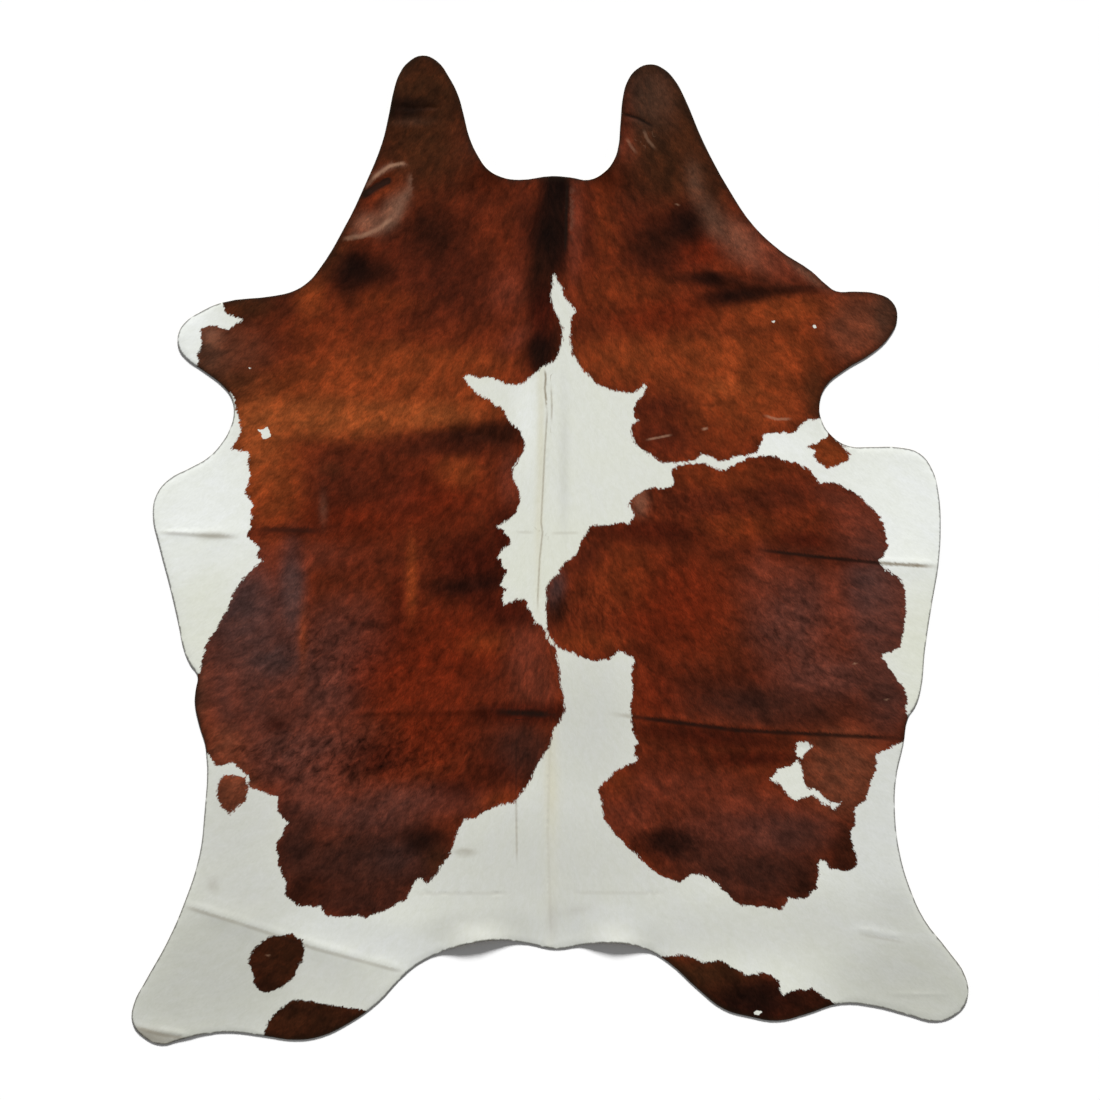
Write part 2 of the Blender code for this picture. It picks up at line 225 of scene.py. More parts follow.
GROUND_WEIGHT = 0.50           # how firmly the coat's ground tone shows between the dabs
BROWN_DABS = dabs(
    # left cheek and neck
    ("umber", (-28, 100, 10, 9, 4.5), (-27, 86, 8, 7, 2.2), (-20, 84, 5, 6, 1.4),
     (-47, 63.5, 2.6, 6, 1.2, -30)),
    # the first ink dab is painted shade in the left cheek's crease
    ("ink", (-31.6, 95.2, 4, 1.7, 24), (-42.3, 60.2, 3.2, 2.8, 7)),
    ("soot", (-28, 104.5, 7, 2.4, 2.4), (-25, 67.5, 4.5, 5.5, 4), (-42.6, 55.6, 1.6, 2.4, 2),
     (-22, 56.5, 4, 2.2, 1.4), (-36, 59.8, 3.8, 1.7, 2.5)),
    # the pale dabs are painted sheen on the left cheek's fold and the neck's pucker
    ("pale_sheen", (-30, 92.2, 4, 0.9, 0.8), (-33.4, 73.4, 1.8, 4, 1.4, -28),
     (-39, 70.4, 3, 1.8, 0.8, 10)),
    ("liver", (-17, 86, 5, 6, 1.2), (-23, 60, 9, 6, 2.2), (-32.5, 65, 4, 3, 1),
     (-22, 57, 6, 4, 1.4), (-16, 76, 5, 6, 1), (-5.8, 67, 1.8, 11, 1.4), (-20, 51, 8, 2.2, 1)),
    ("chestnut", (-35, 78.5, 3, 2, 1.2), (-35, 53.6, 8, 2.2, 1)),
    ("bay", (-17, 76, 7, 5, 1), (-12, 70, 4, 7, 1.2)),
    ("brick", (-9, 56, 4, 4, 0.8)),
    ("ginger", (-52, 54.6, 2.4, 3.2, 3.4)),
    # the dark band down the neck
    ("ink", (1.5, 76.5, 2.1, 6, 14), (0.2, 67.2, 2.9, 4.6, 14), (-1.9, 43, 1.8, 3, 14)),
    ("soot", (-1.8, 59.6, 2, 4.4, 12), (1.5, 45, 1, 4, 2)),
    ("oxblood", (-1.6, 52, 1.8, 5, 8)),
    ("brick", (-7, 45.6, 3.4, 1.7, 1, 40), (5.2, 70, 1.4, 8, 2.4)),
    ("liver", (8.4, 70, 1.4, 8, 1.2)),
    # right cheek and neck
    ("dusk", (22, 97, 5, 7, 3.4)),
    ("umber", (29, 97, 2.4, 8, 3, 12), (21, 104.5, 6, 2, 2.6), (24, 87, 5.4, 5.4, 3.2),
     (26, 80, 5, 4, 2.2), (20, 83, 4, 5, 1), (33, 82, 3.5, 8, 2.2, 20), (19, 78, 5, 4, 1.2)),
    ("liver", (16, 92, 1.8, 7, 2.4), (17, 77, 5, 6, 1.2), (25, 62, 6, 2, 1.2)),
    # the brick dab at 47, 63.5 and the pale dabs on the next two lines are painted sheen on the
    # right cheek and the right neck's raised band
    ("brick", (17.6, 86, 1.4, 3.4, 0.6, 20), (47, 63.5, 3, 8, 1.6, 60)),
    ("pale_sheen", (31.2, 80, 1.6, 3.4, 1.2, 10), (34.5, 72, 2, 5, 0.8, 25),
     (41.5, 66, 2.6, 6, 0.9, 52), (54.6, 60.2, 4.4, 0.9, 1.2, -38)),
    ("ink", (29.2, 70, 3.4, 3.2, 5, 20), (34.4, 58.4, 2.6, 1.1, 5, -8),
     (41.2, 54.6, 5, 1.35, 8, 4)),
    ("soot", (23, 65.5, 4.2, 4, 3.6), (29, 58.6, 3, 1, 2), (51, 56, 6, 0.85, 2.6, 4),
     (42, 57, 6, 1.6, 1.3)),
    ("chestnut", (12, 72, 3, 7, 0.8)),
    ("rust", (32, 64, 5, 2.6, 1.2, 20)),
    # right shoulder and fore shank
    ("tawny", (67, 48.5, 5, 5, 2.4), (63, 47, 4, 5, 0.8)),
    ("dusk", (72, 50, 2.6, 4.6, 2.6)),
    ("chestnut", (16, 55, 8, 4, 1), (52, 42, 6, 6, 1.4), (36, 24.5, 7, 3, 1)),
    ("rust", (25, 50, 9, 3.4, 1.2)),
    ("ginger", (50, 51.8, 9, 2.4, 1.8), (50, 42, 7, 5, 1), (15, 41, 8, 4, 1.4), (37, 42, 12, 6, 2),
     (43, 32, 9, 5, 1.8), (60, 21.5, 4, 3, 3)),
    ("amber", (38, 35, 5, 1.6, 0.8)),
    ("liver", (38, 46.6, 9, 1.2, 0.9), (24, 31, 5, 1.6, 1.2), (25, 24.5, 6, 2.4, 1.6)),
    ("umber", (56.8, 34.5, 1.8, 5, 2.6), (58, 19.4, 2, 1.2, 1.2)),
    # left shoulder and fore shank
    ("umber", (-65, 52.6, 6, 2.2, 3), (-67, 35.8, 5.4, 2.8, 3.2), (-47, 17.4, 2.5, 1.6, 1.2)),
    ("liver", (-57, 53, 4, 3, 1.2), (-60, 44, 6, 5, 1.2), (-23, 23.4, 9, 2, 2),
     (-45, 14, 6, 5, 2.2), (-33, 21, 6, 1.5, 0.9), (-32, 12.5, 4.5, 4, 2.6),
     (-56, 4.2, 9, 1, 3, 3)),
    ("dusk", (-73, 40.5, 4.4, 4.5, 2)),
    ("tawny", (-66, 43, 5, 4, 2)),
    ("pale_sheen", (-72.5, 45.5, 2.2, 2.6, 0.9), (-48.6, 9, 0.7, 3, 0.9)),
    ("chestnut", (-50, 47, 9, 4, 0.9)),
    ("ginger", (-31, 40, 9, 4, 1.4), (-18, 40, 7, 3, 0.9), (-40, 36, 18, 5, 2.2),
     (-14, 32.6, 5, 3, 2), (-59.5, 14, 5, 7, 2.2), (-20, 16.6, 3.4, 2.4, 2)),
    ("bay", (-22, 47, 10, 3, 1.6)),
    ("amber", (-49, 29, 15, 3.2, 2.6), (-26, 29.4, 9, 2.4, 1.6), (-62, 24, 4, 8, 1.8)),
    ("soot", (-15, 24.8, 9, 2.1, 4, 6)),
    ("rust", (-27, 11, 8, 5, 1.6), (-44, 7, 9, 4, 1.2)),
    ("oxblood", (-9.4, 4, 3, 5, 2.4)),
    ("brick", (-8.4, 15, 1.8, 5, 1.2)),
    # left side
    ("ginger", (-29.6, -6, 0.8, 6.5, 1.6), (-53, -20, 0.8, 7, 0.9), (-15, -20, 5, 2, 0.8)),
    ("oxblood", (-33, -12, 1, 6, 1.6), (-16, -3.2, 6, 4.6, 4.6), (-10, -12.6, 6.5, 2, 3.6, -22),
     (-8, -13.6, 4, 2.4, 1.8), (-6, -34.8, 8, 1.8, 4.6, 2), (-11, -47, 5, 3, 1.2),
     (-36, -44.5, 6, 3.6, 1.8), (-58.6, -37.6, 2, 1.2, 2), (-21, -52, 6, 3, 1.4, 15)),
    ("ink", (-16.6, -7.4, 5.6, 1.5, 7, 8), (-57.5, -24.6, 3, 1.6, 2.6), (-35.6, -46, 2.2, 1, 2),
     (-27.6, -62.6, 3, 2.2, 7)),
    ("liver", (-41, -3, 7, 4, 1), (-12, -29, 5, 3, 1.4), (-14, -41, 5, 4, 1.2),
     (-46, -45, 6, 3, 1.4)),
    ("brick", (-52, -1, 8, 2.4, 1.2), (-67.4, -31, 1.4, 5, 1.4, 12), (-42, -12, 4, 2.2, 1),
     (-40, -18.4, 5, 1, 1), (-4.8, -24, 3.4, 7, 2.8), (-1.5, -30, 2.2, 3, 1.4),
     (-45, -38, 7, 2, 1.2), (-44, -52.4, 8, 2, 1.2)),
    # the slate and plum dabs are painted sheen, the grey cast of light glancing off the hair
    ("slate", (-66, -13, 6, 8, 3, 20), (-55.4, -8, 1.8, 7, 4), (-60, -23.8, 5, 2.6, 4),
     (-34, -66, 5, 3, 1.2)),
    ("plum", (-67, -27, 8, 9, 3), (-48, -29, 6, 6, 2.2), (-44, -19, 7, 6, 1.4),
     (-53, -43, 9, 6, 2.4), (-30, -53.6, 11, 2.6, 1.5), (-50, -54, 6, 4, 1.2),
     (-38, -57.4, 8, 3.4, 1.8)),
    ("chestnut", (-74, -34, 2.4, 8, 0.6), (-11, -53.6, 4, 1.3, 0.9, 8)),
    ("dusk", (-75.5, -31, 1.8, 8, 1.4)),
    ("soot", (-38.6, -16.2, 4.4, 1, 2), (-20, -6.4, 5.5, 1.8, 1.8, 6), (-53, -72.5, 4.4, 3, 2.2)),
    ("mocha", (-42, -22, 7, 5, 0.9), (-6.4, -43, 4.6, 4.2, 3.6, -25), (-54.5, -63, 3.4, 8, 3),
     (-40, -67, 11, 4.8, 7), (-40, -75.6, 9, 2.4, 2.4)),
    ("rust", (-35, -25, 9, 8, 2), (-21, -22, 9, 8, 1.8), (-24, -38, 7, 6, 1.6)),
    ("tawny", (-70, -41.6, 4, 3.4, 1.6)),
    ("umber", (-24.6, -66.6, 2.6, 3, 1.8)),
    # right side
    ("chestnut", (37, 16, 9, 3, 1.2), (40, 5, 7, 2, 1), (8, -19.6, 6, 1.8, 1.4),
     (16, -6, 6, 6, 1.2), (15, -50.6, 3, 3, 1.6)),
    ("liver", (32, 11, 7, 2.4, 1.4), (50, 12, 6, 2.6, 1.4), (60, -1.6, 16, 1.2, 1.8, -3),
     (8, -1.6, 4, 2.4, 1.4, 30), (42, -27, 7, 3, 1), (29, -29, 6, 4, 1), (27, -45, 7, 2.6, 1.2),
     (31, -51, 9, 3, 0.9), (40, -60, 9, 3.4, 1.6), (16, -53, 5, 5, 1.2)),
    ("oxblood", (22, 4, 9, 2, 1.8), (55, 2.2, 5, 1.3, 1.6, -5), (34, -40, 12, 1.6, 2, -5),
     (43, -44.8, 7, 1.1, 2.6, 2)),
    ("brick", (63, 10.4, 5, 2, 1.8, -25), (66, 5, 4, 5, 2), (45.6, -4.6, 1.4, 4, 2),
     (47, -7, 5, 4, 1.2), (62, -15, 4, 8, 1.4), (29, -51, 11, 3, 1.2), (17, -56, 5, 4, 1.6),
     (42, -54.6, 8, 2.4, 1.2)),
    # the plum and slate dabs here are painted sheen, the grey cast of light glancing off the hair
    ("plum", (68, 3, 3.4, 5, 1.2), (53, -15, 7, 8, 2), (71, -14, 5, 9, 3.6),
     (60, -27, 9, 3.4, 2.2), (73, -31, 4, 6, 1.8), (44, -59.6, 12, 3.6, 1.2),
     (48, -61, 9, 3.2, 1.6)),
    ("pale_sheen", (19.6, 10.4, 1.5, 2.4, 0.6)),
    ("slate", (1.4, -8.6, 1.3, 3, 2, -12), (69, -8, 4, 6, 2.2)),
    ("soot", (1.6, -12, 1.5, 2.6, 2.6), (64, -64.6, 2.6, 4, 4), (54.6, -72, 2.6, 3, 1.8)),
    ("rust", (26, -12, 9, 8, 1.4), (23, -31, 5, 5, 0.8)),
    ("mocha", (70, -32, 4, 5, 1.2), (47, -33, 13, 3.4, 2.4, -3), (32, -63.5, 6, 4, 1.4),
     (44, -69, 11, 5, 3), (53, -60.6, 5, 2.6, 1.2)),
    ("tawny", (63, -47.6, 5.5, 5.5, 5)),
    ("ink", (26.4, -62.8, 4.8, 2.1, 5.5)),
    # the spots of the left flank and the hind shanks
    ("tawny", (-68, -52, 3.4, 4, 4)),
    ("umber", (-58, -88.5, 6, 7, 3), (-52, -101, 10, 4, 4), (32, -91, 9, 3.4, 5)),
    ("soot", (-59, -90, 5, 6, 6), (-52, -101.4, 9, 4, 7), (36, -95, 5, 3, 3),
     (56, -97, 5, 2.6, 5)),
    ("bay", (31, -88, 5, 1.2, 1.2, -8)),
    ("ink", (44, -96.5, 6, 3.4, 8)))
# The white coat greys towards the tail: partly painted shade, darker as if lit from beyond the
# neck, and partly dirt.
WHITE_DABS = dabs(
    ("snow", (76, 8, 14, 12, 2.4), (-76, 10, 12, 12, 1.8), (-77, 46, 6, 6, 2), (50, 22, 8, 4, 1.6),
     (-5, 28, 2.4, 8, 0.6)),
    ("straw", (-1.9, 25, 0.7, 14, 0.5), (-2.4, 0, 0.7, 12, 0.5), (0.4, -50, 1.4, 26, 0.9)),
    ("putty", (3.1, 18, 0.9, 15, 0.5), (8, -38, 9, 12, 2.2), (0, -68, 20, 10, 3),
     (60, -80, 12, 6, 1.8), (34, -81, 14, 5, 1.4), (-68, -62, 9, 12, 3), (-64, -75, 9, 5, 2.6),
     (-46, -93, 10, 4, 2.4, -20)),
    ("ivory", (0, -4, 9, 8, 1), (-74, -10, 4, 8, 1.2), (80, -18, 4, 12, 1.6)),
    ("pearl", (10, -81, 18, 4, 1.6), (72, -62, 9, 16, 1.8), (-36, -84, 16, 3.4, 2, -14),
     (72, -82, 8, 1.4, 1.6, -10)),
    ("ash", (-72, -90, 13, 9, 5, -16), (-82, -98, 8, 6, 3), (74, -77, 5, 5, 1.4),
     (78, -91, 12, 8, 4), (3, -78, 3, 3, 0.8)),
    # smudges, with painted shade on the folded tip of the left hind shank and over the tail's two
    # arches
    ("smoke", (-18, -64.8, 1.8, 0.6, 2), (0.6, -79, 1.2, 3.4, 0.7), (5.6, -77.4, 3, 0.9, 0.6, 8),
     # the last smoke dab is painted shade on the folded tip of the left hind shank
     (-72.3, -71.9, 1, 1.4, 1.2), (-72.5, 3.2, 3, 0.7, 2), (-86, -104.5, 5, 1.4, 2.6, -8)),
    # painted shade: darkens the white over the tail's two arches, which the low key light lights
    # more than the flat hide; a little of it is grey dirt
    ("ash", (-14, -81.5, 8, 2.6, 7, 4), (14.5, -82, 7, 2.4, 6, -6)))

# where the brown hair lies in dark and light tufts, by this much more than elsewhere
GROUND_TUFTING = 0.34
TUFTING = [Oval(*oval) for oval in (
    (-54, -45, 17, 7, 0.5), (-32, -44, 14, 8, 0.45), (-46, -23, 16, 9, 0.45), (51, -17, 9, 8, 0.35),
    (60, -27, 9, 6, 0.25), (8, -12, 8, 5, 0.3), (-20, -5, 9, 6, 0.25), (30, 10, 14, 5, 0.25),
    (22, -62, 12, 5, 0.25), (-40, -64, 12, 7, 0.2))]

# where the edge has curled off the floor: the tail's two arches, the neck's cut, a cheek
CURLS = [Oval(*oval) for oval in (
    (-15, -86.5, 14, 12), (14, -86.5, 13, 12), (-14, 82.5, 8.5, 8.5), (13, 82.5, 8.5, 8.5),
    (-33.5, 97, 7, 11))]

# ---- lines: creases, and the painted shade and highlights along them ----
NO_FADE = 0.01                 # a fade too short to show, in centimetres
SAME_DISTANCE = 1e-7           # two stretches of a line are as near to a point as each other
Line = namedtuple("Line", "name amount half_width fade path")


def lines(*rows):
    """Lines from rows of a name, an amount, half a width, a fade at both ends, and marks."""
    return [Line(*row[:4], row[4:]) for row in rows]


# Small creases: the amount is their rise in millimetres, negative where they sink.
CREASES = lines(
    ("neck line", -1.2, 0.8, 3, (3.9, 80.5), (3.6, 72), (3.5, 64)),
    ("spine line", -0.8, 0.7, 4, (-0.9, 39), (-0.7, 30), (-0.6, 22), (-1.4, 14), (-1.5, 5),
     (-2, -4), (-2.4, -12)),
    ("spine dash", -0.6, 0.6, 2, (0.4, 37), (0.5, 27)),
    ("lower spine line", -0.6, 0.9, 6, (0.6, -24), (0.1, -41), (-0.4, -60), (0.3, -85)),
    ("left back line", -0.4, 0.7, 4, (-7.1, -38), (-7.1, -52), (-7, -68)),
    ("left hind shank crest", 0.6, 1.5, 4, (-79, -75.7), (-66, -79.6), (-50, -84.8),
     (-30.5, -90.2)),
    ("right flank crest", 0.6, 1.2, 4, (55, -0.7), (71, -2.1), (83.8, -3)),
    ("long right crest", 0.8, 1.3, 5, (20, -35.3), (40, -37.9), (76.5, -39.9)),
    ("left patch crest", 0.7, 1.2, 9, (-46, -35.2), (-20, -34.4), (3.4, -33.8)),
    ("left flank crest", 0.5, 1.3, 4, (-85, 4.4), (-66, 3.2)),
    ("right rump line", -0.5, 0.9, 4, (4, -73.5), (26, -73.7)),
    ("left rump line", -0.5, 0.9, 4, (-30, -73.8), (-8, -73.6)),
    ("right hind shank wrinkle", 0.45, 1.2, 3, (65, -81), (77, -83.2)),
    ("right hind shank tip wrinkle", 0.35, 1, 3, (72, -95), (86, -95.6)),
    ("right cheek crease", -1.4, 0.9, 1.5, (15.6, 93.8), (18.8, 92.9), (22.6, 90.9)),
    ("right cheek wrinkle", 1, 0.7, 1.5, (20, 90.5), (21.1, 88.2), (22.6, 86.4)),
    ("right cheek wrinkle 2", 0.9, 0.7, 1.5, (16.5, 88.6), (18.8, 85.4)),
    ("left cheek crease", -1, 1.6, 2, (-34.5, 95.6), (-28, 94.8), (-23, 95.4)),
    ("left neck pucker", 1.3, 1, 1.5, (-38.8, 79.2), (-35.3, 81.6), (-32.8, 83), (-30, 83.2)),
    ("left neck trough", -1.4, 1.3, 1.5, (-39.6, 76.9), (-36.9, 78.9), (-33.5, 80.6)),
    ("left neck roll", 1.2, 1.3, 2, (-29.7, 81.6), (-29.7, 78.1), (-31.6, 75.2), (-32.8, 71.9),
     (-34.9, 69.8), (-39, 67.6), (-43.8, 67.2)),
    ("right neck band edge", 0.8, 1.6, 3, (30, 61.5), (40, 57.5), (54, 55.6)),
    ("left shoulder dent", -0.6, 1.6, 4, (-26, 26.4), (-17, 25.4), (-7, 22.8)),
    ("left shank tip crest", 0.7, 1.2, 2, (-89.4, -101.6), (-86.8, -103), (-83.5, -103.2),
     (-77.5, -104.2)))
# Thin lines, tan on the white hair and dark on the brown: painted shade along the creases,
# partly dirt. Pale where the amount is negative: painted highlights on the folds of the neck
# and the right cheek, and pale scratches and flecks. Where two run side by side, their marks
# are given in opposite directions.
THIN_LINES = lines(
    ("neck line", 1, 0.45, 3, (3.9, 80.5), (3.6, 72), (3.4, 63)),
    ("upper spine line", 0.85, 0.3, 1.5, (-1.1, 39.2), (-0.8, 37.2), (-1, 34.8), (-0.5, 30)),
    ("spine line", 0.55, 0.26, 5, (-0.6, 32), (-0.5, 29.4), (-1, 21.7), (-1.4, 13.9), (-1.8, 6),
     (-1.5, 3.8), (-2.1, -1.6), (-2.5, -9.4), (-2.6, -14)),
    ("spine dash", 0.5, 0.26, 2.5, (0.4, 27), (0.5, 31), (0.3, 36)),
    ("waist line, left", 0.2, 0.4, 1.5, (-7.6, 4), (-3, 3.8)),
    ("waist line, right", 0.2, 0.4, 1.5, (0, 3.7), (6.8, 3.8)),
    ("lower spine line", 0.12, 0.4, 5, (0.6, -24), (0.1, -41), (-0.4, -60), (0.3, -84)),
    ("left back line", 0.4, 0.3, 4, (-7.1, -38), (-7.2, -52), (-7, -68)),
    ("left hind shank line", 0.34, 0.5, 4, (-79.5, -76.2), (-66, -80.4), (-50, -85.7),
     (-30.5, -90.9)),
    ("right flank line", 0.9, 0.5, 6, (43, 0.4), (57, -1.3), (71, -2.7), (84.5, -3.6)),
    ("long right line", 0.9, 0.6, 12, (11, -34.8), (40, -38.6), (80.5, -40.7)),
    ("left patch line", 0.16, 0.6, 12, (-66, -35.2), (-46, -35.6), (-20, -35.1), (-14.5, -34.8)),
    ("left patch line, near the spine", 1, 0.9, 6, (-14, -34.6), (-4, -35), (3.4, -35.6)),
    ("left flank line", 0.3, 0.5, 4, (-85, 3.9), (-66, 2.7)),
    ("left flank dark line", 0.6, 0.7, 4, (-63.5, 4.6), (-48, 4.2)),
    ("right rump line", 0.12, 0.5, 4, (4, -73.5), (26, -73.7)),
    ("left rump line", 0.12, 0.5, 4, (-30, -73.8), (-8, -73.6)),
    ("right hind shank wrinkle", 0.2, 0.4, 3, (66, -82.4), (77, -84.4)),
    ("right cheek crease", 1, 0.4, 1.5, (15.4, 94), (18.8, 93), (22.8, 90.9)),
    ("right cheek wrinkle", -0.25, 0.4, 1.5, (20, 90.8), (21.1, 88.2), (23, 86)),
    ("right cheek wrinkle 2", -0.22, 0.4, 1.5, (16.3, 89), (17.4, 87), (19, 85)),
    ("left neck pucker line", -0.45, 0.5, 1.5, (-40, 77.6), (-37.4, 80.4), (-34.4, 82.6),
     (-30.6, 83.4)),
    ("left neck roll line", -0.35, 0.6, 2, (-45, 66.9), (-40.6, 67.4), (-36.4, 69.2),
     (-33.6, 71.8)),
    ("neck fleck", -0.4, 0.3, 0.1, (27.2, 74.3), (27.7, 74.3)),
    ("right body fleck", -0.4, 0.3, 0.1, (65.3, -24.3), (65.8, -24.3)),
    ("right body fleck 2", -0.35, 0.3, 0.1, (72, -32.1), (72.5, -32.1)),
    ("hind spot fleck", -0.4, 0.35, 0.1, (-60.6, -87), (-60.2, -87)),
    ("right shoulder scratch", -0.5, 0.3, 1.5, (20.4, 23.7), (23, 24.2), (26.6, 24.9)),
    ("right shoulder scratch 2", -0.6, 0.35, 0.6, (32.6, 26), (34.2, 26.3)),
    ("right shoulder scratch 3", -0.45, 0.35, 2, (45.6, 29.2), (48.8, 28.2), (52.4, 28.3)),
    ("tail fold line", 0.4, 0.5, 2, (-89.6, -102.4), (-83.5, -104), (-77.5, -105)))
# Wider painted shade and sheen. A positive amount darkens both coats as painted shade beside
# a crease or in a trough, a negative one pales the brown as a painted highlight on a fold.
SHADES = lines(
    ("neck line gloss", -0.3, 1.1, 3, (5, 79.5), (4.7, 72), (4.4, 66)),
    ("left neck pucker gloss", -0.6, 1.3, 1.5, (-38.8, 79.6), (-35.3, 82), (-32.8, 83.2),
     (-30, 83.3)),
    ("left neck trough", 1.3, 1.6, 1.6, (-41, 75.6), (-37.2, 78.2), (-33.4, 80.2)),
    ("left neck roll gloss", -0.5, 1.7, 2, (-29.5, 81.6), (-29.6, 78.1), (-31.6, 75.2),
     (-32.8, 71.9), (-34.9, 69.8), (-39, 67.6), (-43.8, 67.2)),
    ("right flank shade", 0.22, 2.2, 8, (43, 1.2), (57, -0.2), (73, -2)),
    ("long right shade", 0.12, 2.6, 6, (22, -37.8), (45, -40.6), (74, -42.4)),
    ("left hind shank shade", 0.05, 2.6, 6, (-79, -77.6), (-66, -81.6), (-50, -87),
     (-30.5, -92.2)))


# ---- working with marks ----
def placed(marks):
    """Marks as an array of points, in metres."""
    return np.array(marks, float) * MARK


def hump(share):
    """A smooth hump: 1 at share 0, falling to 0 at share 1 or -1 and beyond."""
    return 0.5 + 0.5 * np.cos(pi * np.clip(share, -1.0, 1.0))


def depth_inside(points, marks):
    """How deep each point lies inside a closed loop of marks; outside it is negative."""
    loop = placed(marks)
    nearest = np.full(len(points), np.inf)
    inside = np.zeros(len(points), bool)
    for start, end in zip(loop, np.roll(loop, -1, axis=0)):
        step = end - start
        away = points - start
        share = np.clip(away @ step / (step @ step), 0.0, 1.0)
        nearest = np.minimum(nearest, np.hypot(*(away - share[:, None] * step).T))
        if start[1] != end[1]:
            crosses = (start[1] > points[:, 1]) != (end[1] > points[:, 1])
            meets = start[0] + (points[:, 1] - start[1]) * step[0] / step[1]
            inside ^= crosses & (points[:, 0] < meets)
    return np.where(inside, nearest, -nearest)


def patch_depth(points):
    """How deep each point lies inside the brown coat; in the white one it is negative."""
    brown = np.max([depth_inside(points, marks) for marks in BROWN.values()], axis=0)
    white = np.max([depth_inside(points, marks) * (FLECK_FIRMNESS if "fleck" in name else 1.0)
                    for name, marks in WHITE.items()], axis=0)
    return np.minimum(brown, -white)


def line_place(points, line):
    """Each point's distance from a line, less than 0 on its right, and the line's strength there.

    The strength is 1 along the line and falls to 0 at both its ends.
    """
    path = placed(line.path)
    steps = path[1:] - path[:-1]
    lengths = np.hypot(*steps.T)
    nearest = np.full(len(points), np.inf)
    aside = np.zeros(len(points))
    run = np.zeros(len(points))
    before = 0.0
    for start, step, length in zip(path, steps, lengths):
        away = points - start
        share = np.clip(away @ step / (step @ step), 0.0, 1.0)
        distance = np.hypot(*(away - share[:, None] * step).T)
        offset = (step[0] * away[:, 1] - step[1] * away[:, 0]) / length
        level = np.isclose(distance, nearest, atol=SAME_DISTANCE)
        closer = np.where(level, np.abs(offset) > np.abs(aside), distance < nearest)
        nearest = np.where(closer, distance, nearest)
        aside = np.where(closer, offset, aside)
        run = np.where(closer, before + share * length, run)
        before += length
    end_distance = np.minimum(run, lengths.sum() - run)
    return np.copysign(nearest, aside), 1.0 - hump(end_distance / (line.fade * MARK))


def line_weight(points, line):
    """How much of a crease or a line of shade each point gets, from 0 to 1."""
    distance, strength = line_place(points, line)
    return hump(distance / (line.half_width * MARK)) * strength


def near_line(points, line, margin=0.0):
    """Whether each point lies on a line of marks, or within margin of its sides."""
    path = placed(line.path)
    near = np.all((points > path.min(axis=0) - margin) & (points < path.max(axis=0) + margin),
                  axis=1)
    wide = line._replace(half_width=line.half_width + margin / MARK, fade=NO_FADE)
    near[near] = line_weight(points[near], wide) > 0.0
    return near


def oval_distance(points, oval):
    """The square of each point's distance from an oval's middle, measured in its radii."""
    turn = radians(oval.turn)
    away = points - placed((oval.across, oval.along))
    across = away @ np.array((cos(turn), sin(turn))) / (oval.across_radius * MARK)
    along = away @ np.array((-sin(turn), cos(turn))) / (oval.along_radius * MARK)
    return across ** 2 + along ** 2


def dabbed(points, table, tones, ground):
    """The coat's colour at each point: a ground tone with a table's dabs laid over it."""
    weight = np.full(len(points), GROUND_WEIGHT)
    mixed = weight[:, None] * np.array(tones[ground])
    for name, oval in table:
        laid = oval.weight * np.exp(-oval_distance(points, oval))
        weight = weight + laid
        mixed = mixed + laid[:, None] * np.array(tones[name])
    return mixed / weight[:, None]


# ---- the sizes and colours a user would change ----
def tone(name, where, *chart):
    """A colour property whose default is given as on a paint chart."""
    return FloatVectorProperty(name=name, description=where, default=colour(*chart),
                               subtype="COLOR", size=3, min=0.0, max=1.0)


